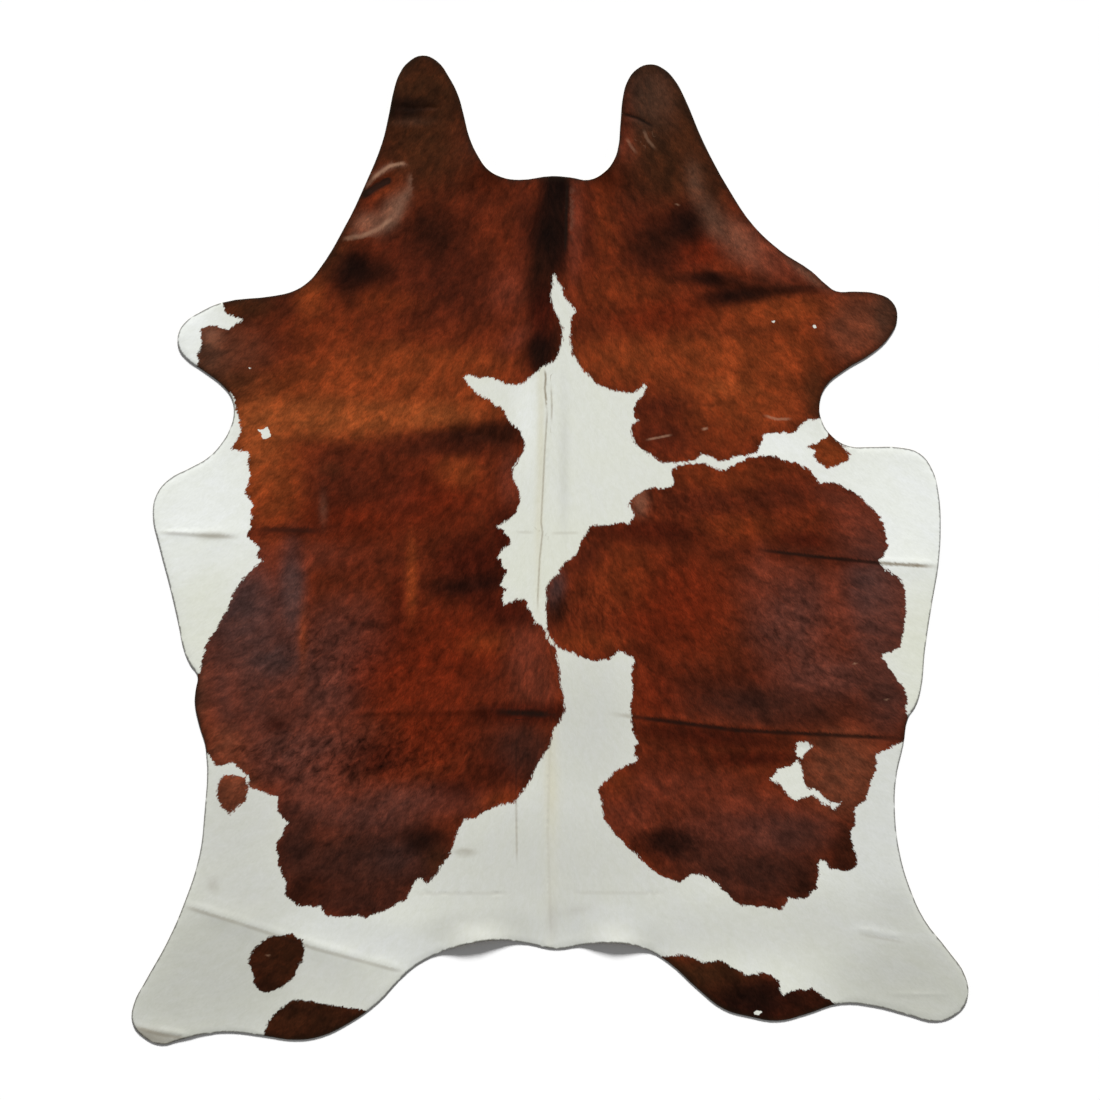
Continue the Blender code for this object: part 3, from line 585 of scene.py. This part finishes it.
class CowhideCoat(bpy.types.PropertyGroup):
    """Sizes and colours of the hide's coat."""
    grain: FloatProperty(
        name="Grain", description="Longest edge of the coat's mesh away from borders and creases",
        default=0.0135, min=0.008, max=0.05, unit="LENGTH")
    fine_grain: FloatProperty(
        name="Fine grain", description="Longest edge of the coat's mesh on borders and creases",
        default=0.0066, min=0.005, max=0.03, unit="LENGTH")
    fold_height: FloatProperty(
        name="Fold height", description="Share of the packed folds' height that is left",
        default=0.25, min=0.0, max=1.0, subtype="FACTOR")
    rim_drop: FloatProperty(
        name="Rim drop", description="How far the coat falls away at the cut edge",
        default=0.0010, min=0.0, max=0.002, unit="LENGTH")
    ragged: FloatProperty(
        name="Ragged border", description="How far the tips of the hair run across a border",
        default=0.011, min=0.0, max=0.03, unit="LENGTH")
    mottle: FloatProperty(
        name="Mottle", description="Depth of the light and dark mottling of the brown hair",
        default=1.0, min=0.0, max=2.0, subtype="FACTOR")
    nap_relief: FloatProperty(
        name="Nap relief", description="Height of the lying hair over the skin",
        default=0.0016, min=0.0, max=0.005, unit="LENGTH")
    # brown coat
    bay: tone("Bay", "Ground of the brown coat", 96, 37, 17)
    amber: tone("Amber", "Brightest orange brown of the left shoulder", 160, 79, 37)
    ginger: tone("Ginger", "Light orange brown of the shoulders", 137, 60, 26)
    chestnut: tone("Chestnut", "Middle brown", 118, 48, 20)
    tawny: tone("Tawny", "Dull orange brown beside the hole", 106, 56, 37)
    rust: tone("Rust", "Clear red brown of the body", 101, 31, 11)
    brick: tone("Brick", "Pinkish red brown", 112, 50, 33)
    liver: tone("Liver", "Dark red brown", 78, 30, 16)
    oxblood: tone("Oxblood", "Darkest red brown", 60, 18, 8)
    umber: tone("Umber", "Dull dark brown", 57, 32, 16)
    mocha: tone("Mocha", "Dark brown of the rump", 54, 30, 23)
    soot: tone("Soot", "Dark brown of the neck", 36, 16, 8)
    ink: tone("Ink", "Near black", 17, 9, 6)
    # plum and slate are painted sheen: the grey cast of light glancing off the hair of the flanks
    plum: tone("Plum", "Grey-red brown of the flanks", 88, 50, 41)
    slate: tone("Slate", "Grey purple brown of the left side", 76, 54, 50)
    # painted sheen: the pale cast that light gives a raised fold
    pale_sheen: tone("Dusty", "Pale bloom on a raised fold", 130, 90, 70)
    dusk: tone("Dusk", "Grey brown of the cheek", 65, 46, 34)
    # white coat
    cream: tone("Cream", "Ground of the white coat", 215, 217, 208)
    snow: tone("Snow", "Whitest hair, on the flanks", 231, 234, 231)
    ivory: tone("Ivory", "Warm white of the back", 214, 216, 203)
    # pearl, putty and ash grey the white towards the tail: partly painted shade, partly dirt
    pearl: tone("Pearl", "Cool white of the rump", 203, 205, 202)
    putty: tone("Putty", "Greyed white of the rump", 193, 194, 187)
    straw: tone("Straw", "Yellowed hair along the spine", 204, 198, 170)
    ash: tone("Ash", "Grey white of the hind shanks", 180, 181, 173)
    smoke: tone("Smoke", "A smudge on the white coat", 140, 132, 116)
    # the rest
    cut: tone("Cut edge", "Raw edge of the hide under the hair", 120, 104, 84)
    flesh: tone("Flesh side", "Suede of the underside", 198, 184, 158)

    def tones(self):
        """Every tone by its name."""
        return {kept.identifier: tuple(getattr(self, kept.identifier))
                for kept in self.bl_rna.properties if kept.subtype == "COLOR"}


class CowhideStage(bpy.types.PropertyGroup):
    """Sizes of the stage that the hide is shown on."""
    frame_width: FloatProperty(
        name="Frame width", description="Width of the floor that the camera takes in",
        default=2.365, min=0.5, max=10.0, unit="LENGTH")
    lens: FloatProperty(
        name="Lens", description="Focal length of the camera in millimetres",
        default=120.0, min=20.0, max=300.0)
    daylight: FloatProperty(
        name="Daylight", description="Strength of the even light from all round",
        default=0.20, min=0.0, max=3.0)
    key_light: FloatProperty(
        name="Key light", description="Strength of the soft light from beyond the neck",
        default=5.82, min=0.0, max=20.0)
    key_height: FloatProperty(
        name="Key height", description="How high above the floor the key light stands",
        default=radians(27.0), min=radians(5.0), max=radians(90.0), subtype="ANGLE")
    key_softness: FloatProperty(
        name="Key softness", description="How wide the key light looks from the hide",
        default=radians(12.0), min=0.0, max=radians(60.0), subtype="ANGLE")


# ---- materials ----
# Colours that the panel doesn't offer, as linear numbers.
WARMER = (1.25, 0.92, 0.70, 1)             # the brown is multiplied by these two in places
COOLER = (0.88, 1.06, 1.16, 1)
SHEEN_HIGHLIGHT = (0.22, 0.115, 0.075, 1)            # painted highlight: the pale sheen that light gives the brown's raised folds
CREASE_SHADE = (0.012, 0.006, 0.004, 1)            # painted shade along a crease, and a thin line on the brown
PALE_LINE = (0.42, 0.24, 0.15, 1)          # on the brown: a painted highlight on a fold, and pale scratches and flecks
TAN_LINE = (0.23, 0.185, 0.12, 1)          # on the white: painted shade along a crease, partly dirt
UNDER_BROWN = (0.010, 0.006, 0.003, 1)     # the brown, darkened towards the cut edge
RIM_LINE = (0.022, 0.016, 0.011, 1)        # the thin dark line round both coats: the cut edge seen from above, partly painted shadow
NAP_DUST = (0.12, 0.09, 0.06, 1)           # in the nap of the flesh side
FLOOR_WHITE = (0.97, 0.97, 0.97, 1)
# Distances from a border or the cut edge.
BORDER_BLUR = 0.0016                       # brown turns white over this much either side
UNDER_FADE = (0.002, 0.016)                # the darkened brown fades out this far from the edge
RIM_FADE = (0.0005, 0.0042)                # and the thin dark line this far


def dimmed(base, share=1.0):
    """That share of a tone, as a colour a node takes."""
    return (*(share * channel for channel in base), 1)


class Nodes:
    """A new material, its nodes added one call at a time; a socket given as input is linked."""

    def __init__(self, name):
        self.material = bpy.data.materials.new(name)
        self.material.use_nodes = True
        self.tree = self.material.node_tree
        self.tree.nodes.clear()

    def add(self, kind, inputs, **settings):
        node = self.tree.nodes.new(kind)
        for key, value in settings.items():
            setattr(node, key, value)
        for key, value in inputs.items():
            if isinstance(value, bpy.types.NodeSocket):
                self.tree.links.new(value, node.inputs[key])
            else:
                node.inputs[key].default_value = value
        return node

    def attribute(self, name, output="Fac"):
        return self.add("ShaderNodeAttribute", {}, attribute_name=name).outputs[output]

    def math(self, operation, first, second=0.0, third=0.0, clamp=False):
        return self.add("ShaderNodeMath", {0: first, 1: second, 2: third},
                        operation=operation, use_clamp=clamp).outputs[0]

    def times(self, first, *others):
        for other in others:
            first = self.math("MULTIPLY", first, other)
        return first

    def swing(self, value, width):
        """value from 0 to 1, carried to a range that wide about 0."""
        return self.math("MULTIPLY_ADD", value, width, -0.5 * width)

    def spread(self, value, low, high, new_low=0.0, new_high=1.0, soft=False):
        """value from low to high, carried to the new range and held at its ends."""
        return self.add("ShaderNodeMapRange",
                        {"Value": value, "From Min": low, "From Max": high,
                         "To Min": new_low, "To Max": new_high},
                        interpolation_type="SMOOTHSTEP" if soft else "LINEAR").outputs["Result"]

    def mix(self, share, first, second, blend="MIX"):
        return self.add("ShaderNodeMix", {0: share, 6: first, 7: second},
                        data_type="RGBA", blend_type=blend).outputs[2]

    def tinted(self, base, *tint):
        """A colour multiplied by a tint, given as one colour or as its three channels."""
        if len(tint) == 3:
            tint = self.add("ShaderNodeCombineColor", dict(enumerate(tint))).outputs
        return self.mix(1.0, base, tint[0], "MULTIPLY")

    def noise(self, place, stretch, detail=2.0, roughness=0.5, distortion=0.0, offset=(0, 0, 0)):
        """Noise with that many lumps to the metre each way."""
        spot = self.add("ShaderNodeMapping",
                        {"Vector": place, "Scale": stretch, "Location": offset}).outputs[0]
        return self.add("ShaderNodeTexNoise",
                        {"Vector": spot, "Scale": 1.0, "Detail": detail,
                         "Roughness": roughness, "Distortion": distortion}).outputs["Fac"]

    def finish(self, surface):
        shader = self.add("ShaderNodeBsdfPrincipled", surface)
        self.add("ShaderNodeOutputMaterial", {"Surface": shader.outputs[0]})
        return self.material


def hair_material(coat):
    """Short lying hair: brown patches on white, mottled, with a ragged border between them."""
    m = Nodes("cowhide hair")
    flow = m.add("ShaderNodeUVMap", {}, uv_map="hair_flow").outputs[0]
    strand = m.noise(flow, (1250, 210, 1), 2.0, 0.6)
    lock = m.noise(flow, (340, 130, 1), 2.0, 0.55, offset=(5, 2, 0))
    mottle = m.noise(flow, (62, 50, 1), 4.0, 0.66, 0.5, offset=(1, 7, 0))
    cloud = m.noise(flow, (14, 12, 1), 2.0, 0.5, 0.5, offset=(9, 3, 0))
    swirl = m.noise(flow, (34, 30, 1), 2.0, 0.5, 0.6, offset=(4, 6, 0))

    # the border: tips of hair and whole tufts run across it
    depth = m.attribute("brown_depth")
    reach = m.math("ADD", m.swing(lock, 1.1 * coat.ragged), m.swing(mottle, 1.8 * coat.ragged))
    reach = m.math("ADD", reach, m.swing(strand, 0.6 * coat.ragged))
    brown_share = m.spread(m.math("ADD", depth, reach), -BORDER_BLUR, BORDER_BLUR, soft=True)

    # the brown coat: broad drifts and patches, then tufts and fine streaks
    darker, lighter = 0.24 * coat.mottle, 0.26 * coat.mottle
    drift = m.spread(cloud, 0.3, 0.7, 1.0 - darker, 1.0 + lighter)
    swirls = m.spread(swirl, 0.3, 0.7, 1.0 - darker, 1.0 + lighter)
    wisps = m.spread(lock, 0.25, 0.75, 1.0 - lighter, 1.0 + lighter)
    tufts = m.math("MULTIPLY_ADD", m.spread(mottle, 0.3, 0.7, -0.85, 0.85),
                   m.attribute("tufting"), 1.0)
    hairs = m.spread(strand, 0.25, 0.75, 0.68, 1.0)
    light = m.times(tufts, wisps, swirls, m.times(hairs, drift))
    brown = m.tinted(m.attribute("brown_tone", "Color"), light, light, light)
    brown = m.mix(m.spread(m.times(swirl, lock), 0.24, 0.40, 0.0, 0.25),
                  brown, m.tinted(brown, WARMER))
    brown = m.mix(m.spread(m.math("ADD", cloud, swirl), 0.80, 1.15, 0.6, 0.0),
                  brown, m.tinted(brown, COOLER))

    # the white coat: faint streaks and a little yellow in the hollows
    shade = m.times(m.spread(lock, 0.25, 0.75, 0.96, 1.03),
                    m.spread(strand, 0.25, 0.75, 0.97, 1.03),
                    m.spread(mottle, 0.25, 0.75, 0.955, 1.035))
    warm = m.times(shade, m.spread(m.times(cloud, mottle), 0.12, 0.38, 0.97, 1.01))
    white = m.tinted(m.attribute("white_tone", "Color"), shade, shade, warm)
    hair = m.mix(brown_share, white, brown)

    # painted sheen on the raised folds and painted shade beside the creases, then the thin lines
    bloom = m.times(m.attribute("bloom"), m.spread(lock, 0.3, 0.6, 0.35, 0.9))
    hair = m.mix(m.math("MULTIPLY", bloom, brown_share, clamp=True), hair, SHEEN_HIGHLIGHT)
    shading = m.times(m.attribute("wear"), m.spread(mottle, 0.3, 0.6, 0.7, 1.1))
    hair = m.mix(m.math("MINIMUM", shading, 0.95), hair, CREASE_SHADE)
    # the thin lines: painted shade along the creases, painted highlights and pale scratches
    off_line = m.math("ADD", m.attribute("line_across"), m.swing(lock, 1.2))
    on_line = m.spread(m.math("ABSOLUTE", off_line), 0.15, 1.3, 1.0, 0.0, soft=True)
    strength = m.attribute("line_strength")
    on_line = m.times(on_line, m.math("ABSOLUTE", strength),
                      m.spread(mottle, 0.3, 0.6, 0.65, 1.0))
    on_brown = m.mix(m.math("GREATER_THAN", strength, 0.0), PALE_LINE, CREASE_SHADE)
    hair = m.mix(on_line, hair, m.mix(brown_share, TAN_LINE, on_brown))

    # the cut edge: the brown darkens towards it, and a thin dark line, partly painted shadow, runs
    # round both coats
    rim = m.math("ADD", m.attribute("rim"), m.swing(lock, 0.004))
    under = m.times(m.spread(rim, *UNDER_FADE, 0.45, 0.0, soft=True), brown_share)
    hair = m.mix(under, hair, UNDER_BROWN)
    hair = m.mix(m.spread(rim, *RIM_FADE, 0.75, 0.0, soft=True), hair, RIM_LINE)

    height = m.math("MULTIPLY_ADD", strand, 0.5, m.times(lock, 0.7))
    bump = m.add("ShaderNodeBump", {"Strength": m.spread(brown_share, 0.0, 1.0, 0.06, 0.22),
                                    "Distance": coat.nap_relief, "Height": height})
    rough = m.spread(lock, 0.25, 0.75, 0.48, 0.64)
    return m.finish({"Base Color": hair, "Roughness": rough, "Normal": bump.outputs[0],
                     "Specular IOR Level": 0.03, "Sheen Weight": 0.03, "Sheen Roughness": 0.3,
                     "Sheen Tint": (0.9, 0.82, 0.78, 1)})


def cut_edge_material(coat):
    """The raw edge: hair tips hanging over a thin line of leather."""
    m = Nodes("cowhide cut edge")
    place = m.add("ShaderNodeTexCoord", {}).outputs["Object"]
    fray = m.noise(place, (260, 260, 260), 2.0, 0.6)
    edge = m.mix(m.spread(fray, 0.35, 0.65), dimmed(coat.cut, 0.22), dimmed(coat.cut))
    return m.finish({"Base Color": edge, "Roughness": 0.8, "Specular IOR Level": 0.2})


def flesh_material(coat):
    """The flesh side: dry suede with a short nap and faint growth lines."""
    m = Nodes("cowhide flesh side")
    place = m.add("ShaderNodeTexCoord", {}).outputs["Object"]
    cloud = m.noise(place, (9, 7, 9), 3.0, 0.55, 0.6)
    nap = m.noise(place, (420, 420, 420), 2.0, 0.6)
    veins = m.noise(place, (26, 40, 26), 4.0, 0.6, 1.4)
    pale = m.mix(m.spread(cloud, 0.3, 0.7), dimmed(coat.flesh, 0.86), dimmed(coat.flesh))
    lined = m.mix(m.spread(veins, 0.56, 0.66, 0.0, 0.22), pale, dimmed(coat.flesh, 0.62))
    napped = m.mix(m.spread(nap, 0.3, 0.7, 0.14, 0.0), lined, NAP_DUST)
    bump = m.add("ShaderNodeBump", {"Strength": 0.4, "Distance": 0.0006, "Height": nap})
    return m.finish({"Base Color": napped, "Roughness": 0.9, "Normal": bump.outputs[0],
                     "Specular IOR Level": 0.15, "Sheen Weight": 0.1, "Sheen Roughness": 0.5})


def floor_material():
    """A plain white studio floor."""
    return Nodes("studio floor").finish(
        {"Base Color": FLOOR_WHITE, "Roughness": 0.95, "Specular IOR Level": 0.0})


# ---- the hide ----
def in_coat(element, among=all):
    """Whether all the faces at an edge or a vertex are the coat's, or with any, one of them."""
    return among(face.material_index == COAT for face in element.link_faces)


def even_triangles(sheet, relax=0.0):
    """Turns the coat's inner edges so that no sliver is left, with relax after moving its points.

    The edges and points on the spine stay, because the hair's flow parts there.
    """
    if relax:
        inner = [v for v in sheet.verts if abs(v.co.x) > ON_SPINE and in_coat(v)]
        bmesh.ops.smooth_vert(sheet, verts=inner, factor=relax,
                              use_axis_x=True, use_axis_y=True, use_axis_z=True)
    edges = [edge for edge in sheet.edges
             if in_coat(edge) and max(abs(v.co.x) for v in edge.verts) > ON_SPINE]
    faces = [face for face in sheet.faces if face.material_index == COAT]
    bmesh.ops.beautify_fill(sheet, faces=faces, edges=edges, method="AREA")


def refine(sheet, coat):
    """Halves the coat's long edges, the longest of a face first, finer on borders and lines."""
    finer = {}
    even_triangles(sheet)
    for _ in range(MOST_PASSES):
        middles, lengths = {}, {}
        for edge in sheet.edges:
            length = edge.calc_length()
            if length > coat.fine_grain and in_coat(edge, any):
                lengths[edge] = length
                middles[edge] = ((edge.verts[0].co + edge.verts[1].co) / 2).xy.to_tuple(5)
        fresh = sorted({middle for edge, middle in middles.items()
                        if lengths[edge] <= coat.grain and middle not in finer})
        if fresh:
            points = np.array(fresh)
            fine = np.abs(patch_depth(points)) < FINE_BY_BORDER
            for line in CREASES + THIN_LINES:
                fine |= near_line(points, line, FINE_BY_LINE)
            finer.update(zip(fresh, fine))
        long = {edge: (length, edge.index) for edge, length in lengths.items()
                if length > coat.grain or finer[middles[edge]]}
        longest = [edge for edge, size in long.items()
                   if all(long.get(other, size) <= size
                          for face in edge.link_faces for other in face.edges)]
        if not longest:
            break
        bmesh.ops.subdivide_edges(sheet, edges=longest, cuts=1, use_single_edge=True)
        sheet.edges.index_update()
        even_triangles(sheet)
    for _ in range(RELAXINGS):
        even_triangles(sheet, relax=RELAX)


def smooth_heights(heights, ends, held):
    """Heights averaged with those of their neighbours, FOLD_ROUNDS times; held ones stay."""
    counts = np.bincount(ends.ravel(), minlength=len(heights))
    for _ in range(FOLD_ROUNDS):
        sums = (np.bincount(ends[:, 0], heights[ends[:, 1]], len(heights))
                + np.bincount(ends[:, 1], heights[ends[:, 0]], len(heights)))
        heights = np.where(held, heights, 0.5 * heights + 0.5 * sums / np.maximum(counts, 1))
    return heights


def shape_coat(sheet, coat):
    """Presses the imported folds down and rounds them, then adds the small creases.

    Where the edge has curled off the floor the folds keep their height.
    """
    sheet.verts.ensure_lookup_table()
    sheet.verts.index_update()
    on_top = np.array([in_coat(v, any) for v in sheet.verts])
    on_rim = np.array([any(f.material_index == EDGE for f in v.link_faces) for v in sheet.verts])
    ends = np.array([[v.index for v in e.verts] for e in sheet.edges if in_coat(e, any)])
    places = np.array([v.co for v in sheet.verts])
    points, heights = places[:, :2], places[:, 2]
    curled = np.max([np.exp(-oval_distance(points, oval) ** 2) for oval in CURLS], axis=0)
    lift = heights - np.where(on_top, CAD_THICKNESS, 0.0)
    heights = heights - (1.0 - coat.fold_height) * lift * (1.0 - curled)
    heights = smooth_heights(heights, ends, on_rim | ~on_top)
    uneven = 1.0 + sum(height * np.sin(points @ (across, along) + start)
                       for height, across, along, start in WAVES)
    rise = np.zeros(len(places))
    for crease in CREASES:
        near = near_line(points, crease)
        rise[near] += MILLIMETRE * crease.amount * uneven[near] * line_weight(points[near], crease)
    rise[on_rim] -= coat.rim_drop
    rise[~on_top] = 0.0
    for vertex, height in zip(sheet.verts, heights + rise):
        vertex.co.z = height


def flow_map(points, side):
    """Where each point lies along the hair: across the lie of the hair, then down it."""
    out = np.abs(points[:, 0])
    ramp = np.clip((out - FLANK_START) / FLANK_WIDTH, 0.0, 1.0)
    across = (out + SPINE_GAIN * SPINE_REACH * (1.0 - np.exp(-out / SPINE_REACH))
              - FLANK_LOSS * FLANK_WIDTH * ramp ** 3 * (1.0 - ramp / 2))
    return np.stack((across + LEAN * points[:, 1] + np.where(side > 0, 0.0, OTHER_SIDE),
                     -points[:, 1]), axis=1)


def paint_coat(mesh, rim_points, coat):
    """Writes the patches, the tones, the painted shade and sheen, and the lie of the hair into the
    mesh.
    """
    count = len(mesh.vertices)
    places = np.empty(count * 3)
    mesh.vertices.foreach_get("co", places)
    points = places.reshape(-1, 3)[:, :2]

    def keep(name, values, kind="FLOAT", field="value"):
        mesh.attributes.new(name, kind, "POINT").data.foreach_set(field, np.ravel(values))

    keep("brown_depth", patch_depth(points))
    for name, laid_on, ground in (("brown_tone", BROWN_DABS, "bay"),
                                  ("white_tone", WHITE_DABS, "cream")):
        laid = dabbed(points, laid_on, coat.tones(), ground)
        keep(name, np.column_stack((laid, np.ones(count))), "FLOAT_COLOR", "color")
    tufting = GROUND_TUFTING + sum(oval.weight * np.exp(-oval_distance(points, oval))
                                   for oval in TUFTING)
    keep("tufting", tufting * coat.mottle)

    # painted shade beside the creases and in the neck's trough, and painted sheen on the raised
    # folds
    wear, bloom = np.zeros(count), np.zeros(count)
    for line in SHADES:
        near = near_line(points, line)
        laid = abs(line.amount) * line_weight(points[near], line)
        (wear if line.amount > 0.0 else bloom)[near] += laid
    keep("wear", wear)
    keep("bloom", bloom)

    # of the thin lines, each point knows only the nearest
    nearest, across, strength = np.full(count, np.inf), np.zeros(count), np.zeros(count)
    for line in THIN_LINES:
        distance, unfaded = line_place(points, line)
        widths = np.clip(distance / (line.half_width * MARK), -LINE_WIDTHS, LINE_WIDTHS)
        distance = np.abs(distance)
        closer = distance < nearest
        nearest = np.where(closer, distance, nearest)
        across = np.where(closer, widths, across)
        strength = np.where(closer, unfaded * line.amount * (distance < LINE_REACH), strength)
    keep("line_across", across)
    keep("line_strength", strength)

    tree = kdtree.KDTree(len(rim_points))
    for index, place in enumerate(rim_points):
        tree.insert(place, index)
    tree.balance()
    keep("rim", [tree.find((x, y, 0.0))[2] for x, y in points])

    corners = np.empty(len(mesh.loops), int)
    mesh.loops.foreach_get("vertex_index", corners)
    sides = np.repeat([np.sign(face.center.x) for face in mesh.polygons],
                      [face.loop_total for face in mesh.polygons])
    layer = mesh.uv_layers.new(name="hair_flow")
    layer.data.foreach_set("uv", flow_map(points[corners], sides).ravel())


def rim_line(sheet):
    """Points along the coat's edge, flattened, closer together than the rim's line is wide."""
    found = []
    for edge in sheet.edges:
        if {face.material_index for face in edge.link_faces} == {COAT, EDGE}:
            start, end = (Vector((v.co.x, v.co.y, 0.0)) for v in edge.verts)
            parts = max(1, int((end - start).length / RIM_STEP))
            found += [start.lerp(end, part / parts) for part in range(parts)]
    return found


def make_hide_sheet(coat):
    """The dressed hide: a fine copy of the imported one, cut along the spine."""
    sheet = bmesh.new()
    sheet.from_mesh(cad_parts["hide"].data)
    bmesh.ops.remove_doubles(sheet, verts=sheet.verts, dist=WELD)
    sheet.normal_update()
    for face in sheet.faces:
        up = face.normal.z
        face.material_index = COAT if up > 0.5 else FLESH if up < -0.5 else EDGE
    bmesh.ops.bisect_plane(sheet, geom=sheet.verts[:] + sheet.edges[:] + sheet.faces[:],
                           dist=ON_SPINE, plane_co=(0, 0, 0), plane_no=(1, 0, 0))
    bmesh.ops.triangulate(sheet, faces=[f for f in sheet.faces if len(f.verts) > 3])
    sheet.edges.index_update()
    refine(sheet, coat)
    shape_coat(sheet, coat)
    rim_points = rim_line(sheet)
    for face in sheet.faces:
        face.smooth = face.material_index != EDGE
    mesh = bpy.data.meshes.new("hide_sheet")
    sheet.to_mesh(mesh)
    sheet.free()
    paint_coat(mesh, rim_points, coat)
    for material in (hair_material(coat), cut_edge_material(coat), flesh_material(coat)):
        mesh.materials.append(material)
    return mesh


def put_in_scene(name, data):
    """A new object with that mesh, light or camera."""
    made = bpy.data.objects.new(name, data)
    bpy.context.collection.objects.link(made)
    return made


# ---- operators ----
class COWHIDE_OT_dress_hide(bpy.types.Operator):
    """Make the hide: one sheet with hair above and suede below"""
    bl_idname = "cowhide.dress_hide"
    bl_label = "Dress the hide"

    def execute(self, context):
        hide = put_in_scene("hide_sheet", make_hide_sheet(context.scene.cowhide_coat))
        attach(hide, "root")
        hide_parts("hide")
        return {"FINISHED"}


class COWHIDE_OT_set_stage(bpy.types.Operator):
    """Set the stage: a white floor, even daylight, a soft key light and a camera overhead"""
    bl_idname = "cowhide.set_stage"
    bl_label = "Set the stage"

    def execute(self, context):
        stage = context.scene.cowhide_stage
        plane = bmesh.new()
        bmesh.ops.create_grid(plane, x_segments=1, y_segments=1, size=FLOOR_SIZE)
        bmesh.ops.translate(plane, verts=plane.verts, vec=(0.0, 0.0, -FLOOR_DROP))
        mesh = bpy.data.meshes.new("studio_floor")
        plane.to_mesh(mesh)
        plane.free()
        mesh.materials.append(floor_material())
        put_in_scene("studio_floor", mesh)

        world = bpy.data.worlds.new("daylight")
        world.use_nodes = True
        background = world.node_tree.nodes["Background"]
        background.inputs["Color"].default_value = (1.0, 1.0, 1.0, 1.0)
        background.inputs["Strength"].default_value = stage.daylight
        context.scene.world = world

        lamp = bpy.data.lights.new("key light", "SUN")
        lamp.energy, lamp.angle = stage.key_light, stage.key_softness
        key = put_in_scene("key light", lamp)
        key.rotation_euler = (stage.key_height - pi / 2, 0.0, KEY_TURN)

        camera = bpy.data.cameras.new("camera")
        camera.lens, camera.sensor_width = stage.lens, SENSOR_WIDTH
        camera.dof.use_dof = False
        eye = put_in_scene("camera", camera)
        eye.location = (*PHOTO_MIDDLE, stage.frame_width * stage.lens / SENSOR_WIDTH)
        context.scene.camera = eye
        context.scene.view_settings.view_transform = "Standard"
        return {"FINISHED"}


class COWHIDE_PT_pieces(bpy.types.Panel):
    """The rug's pieces and its stage, with the sizes and colours they are made from"""
    bl_idname = "COWHIDE_PT_pieces"
    bl_label = "Cowhide rug"
    bl_space_type = "VIEW_3D"
    bl_region_type = "UI"
    bl_category = "Cowhide"

    def draw(self, context):
        for operators, group in ((HIDE_OPERATORS, context.scene.cowhide_coat),
                                 (STAGE_OPERATORS, context.scene.cowhide_stage)):
            box = self.layout.box()
            for operator in operators:
                box.operator(operator.bl_idname)
            for name in type(group).__annotations__:
                box.prop(group, name)


HIDE_OPERATORS = (COWHIDE_OT_dress_hide,)
STAGE_OPERATORS = (COWHIDE_OT_set_stage,)
CLASSES = (CowhideCoat, CowhideStage, *HIDE_OPERATORS, *STAGE_OPERATORS, COWHIDE_PT_pieces)


def register():
    for made in CLASSES:
        bpy.utils.register_class(made)
    bpy.types.Scene.cowhide_coat = PointerProperty(type=CowhideCoat)
    bpy.types.Scene.cowhide_stage = PointerProperty(type=CowhideStage)


def unregister():
    del bpy.types.Scene.cowhide_stage
    del bpy.types.Scene.cowhide_coat
    for made in reversed(CLASSES):
        bpy.utils.unregister_class(made)


def main():
    register()
    bpy.ops.cowhide.set_stage()
    bpy.ops.cowhide.dress_hide()


if __name__ == "__main__":
    main()
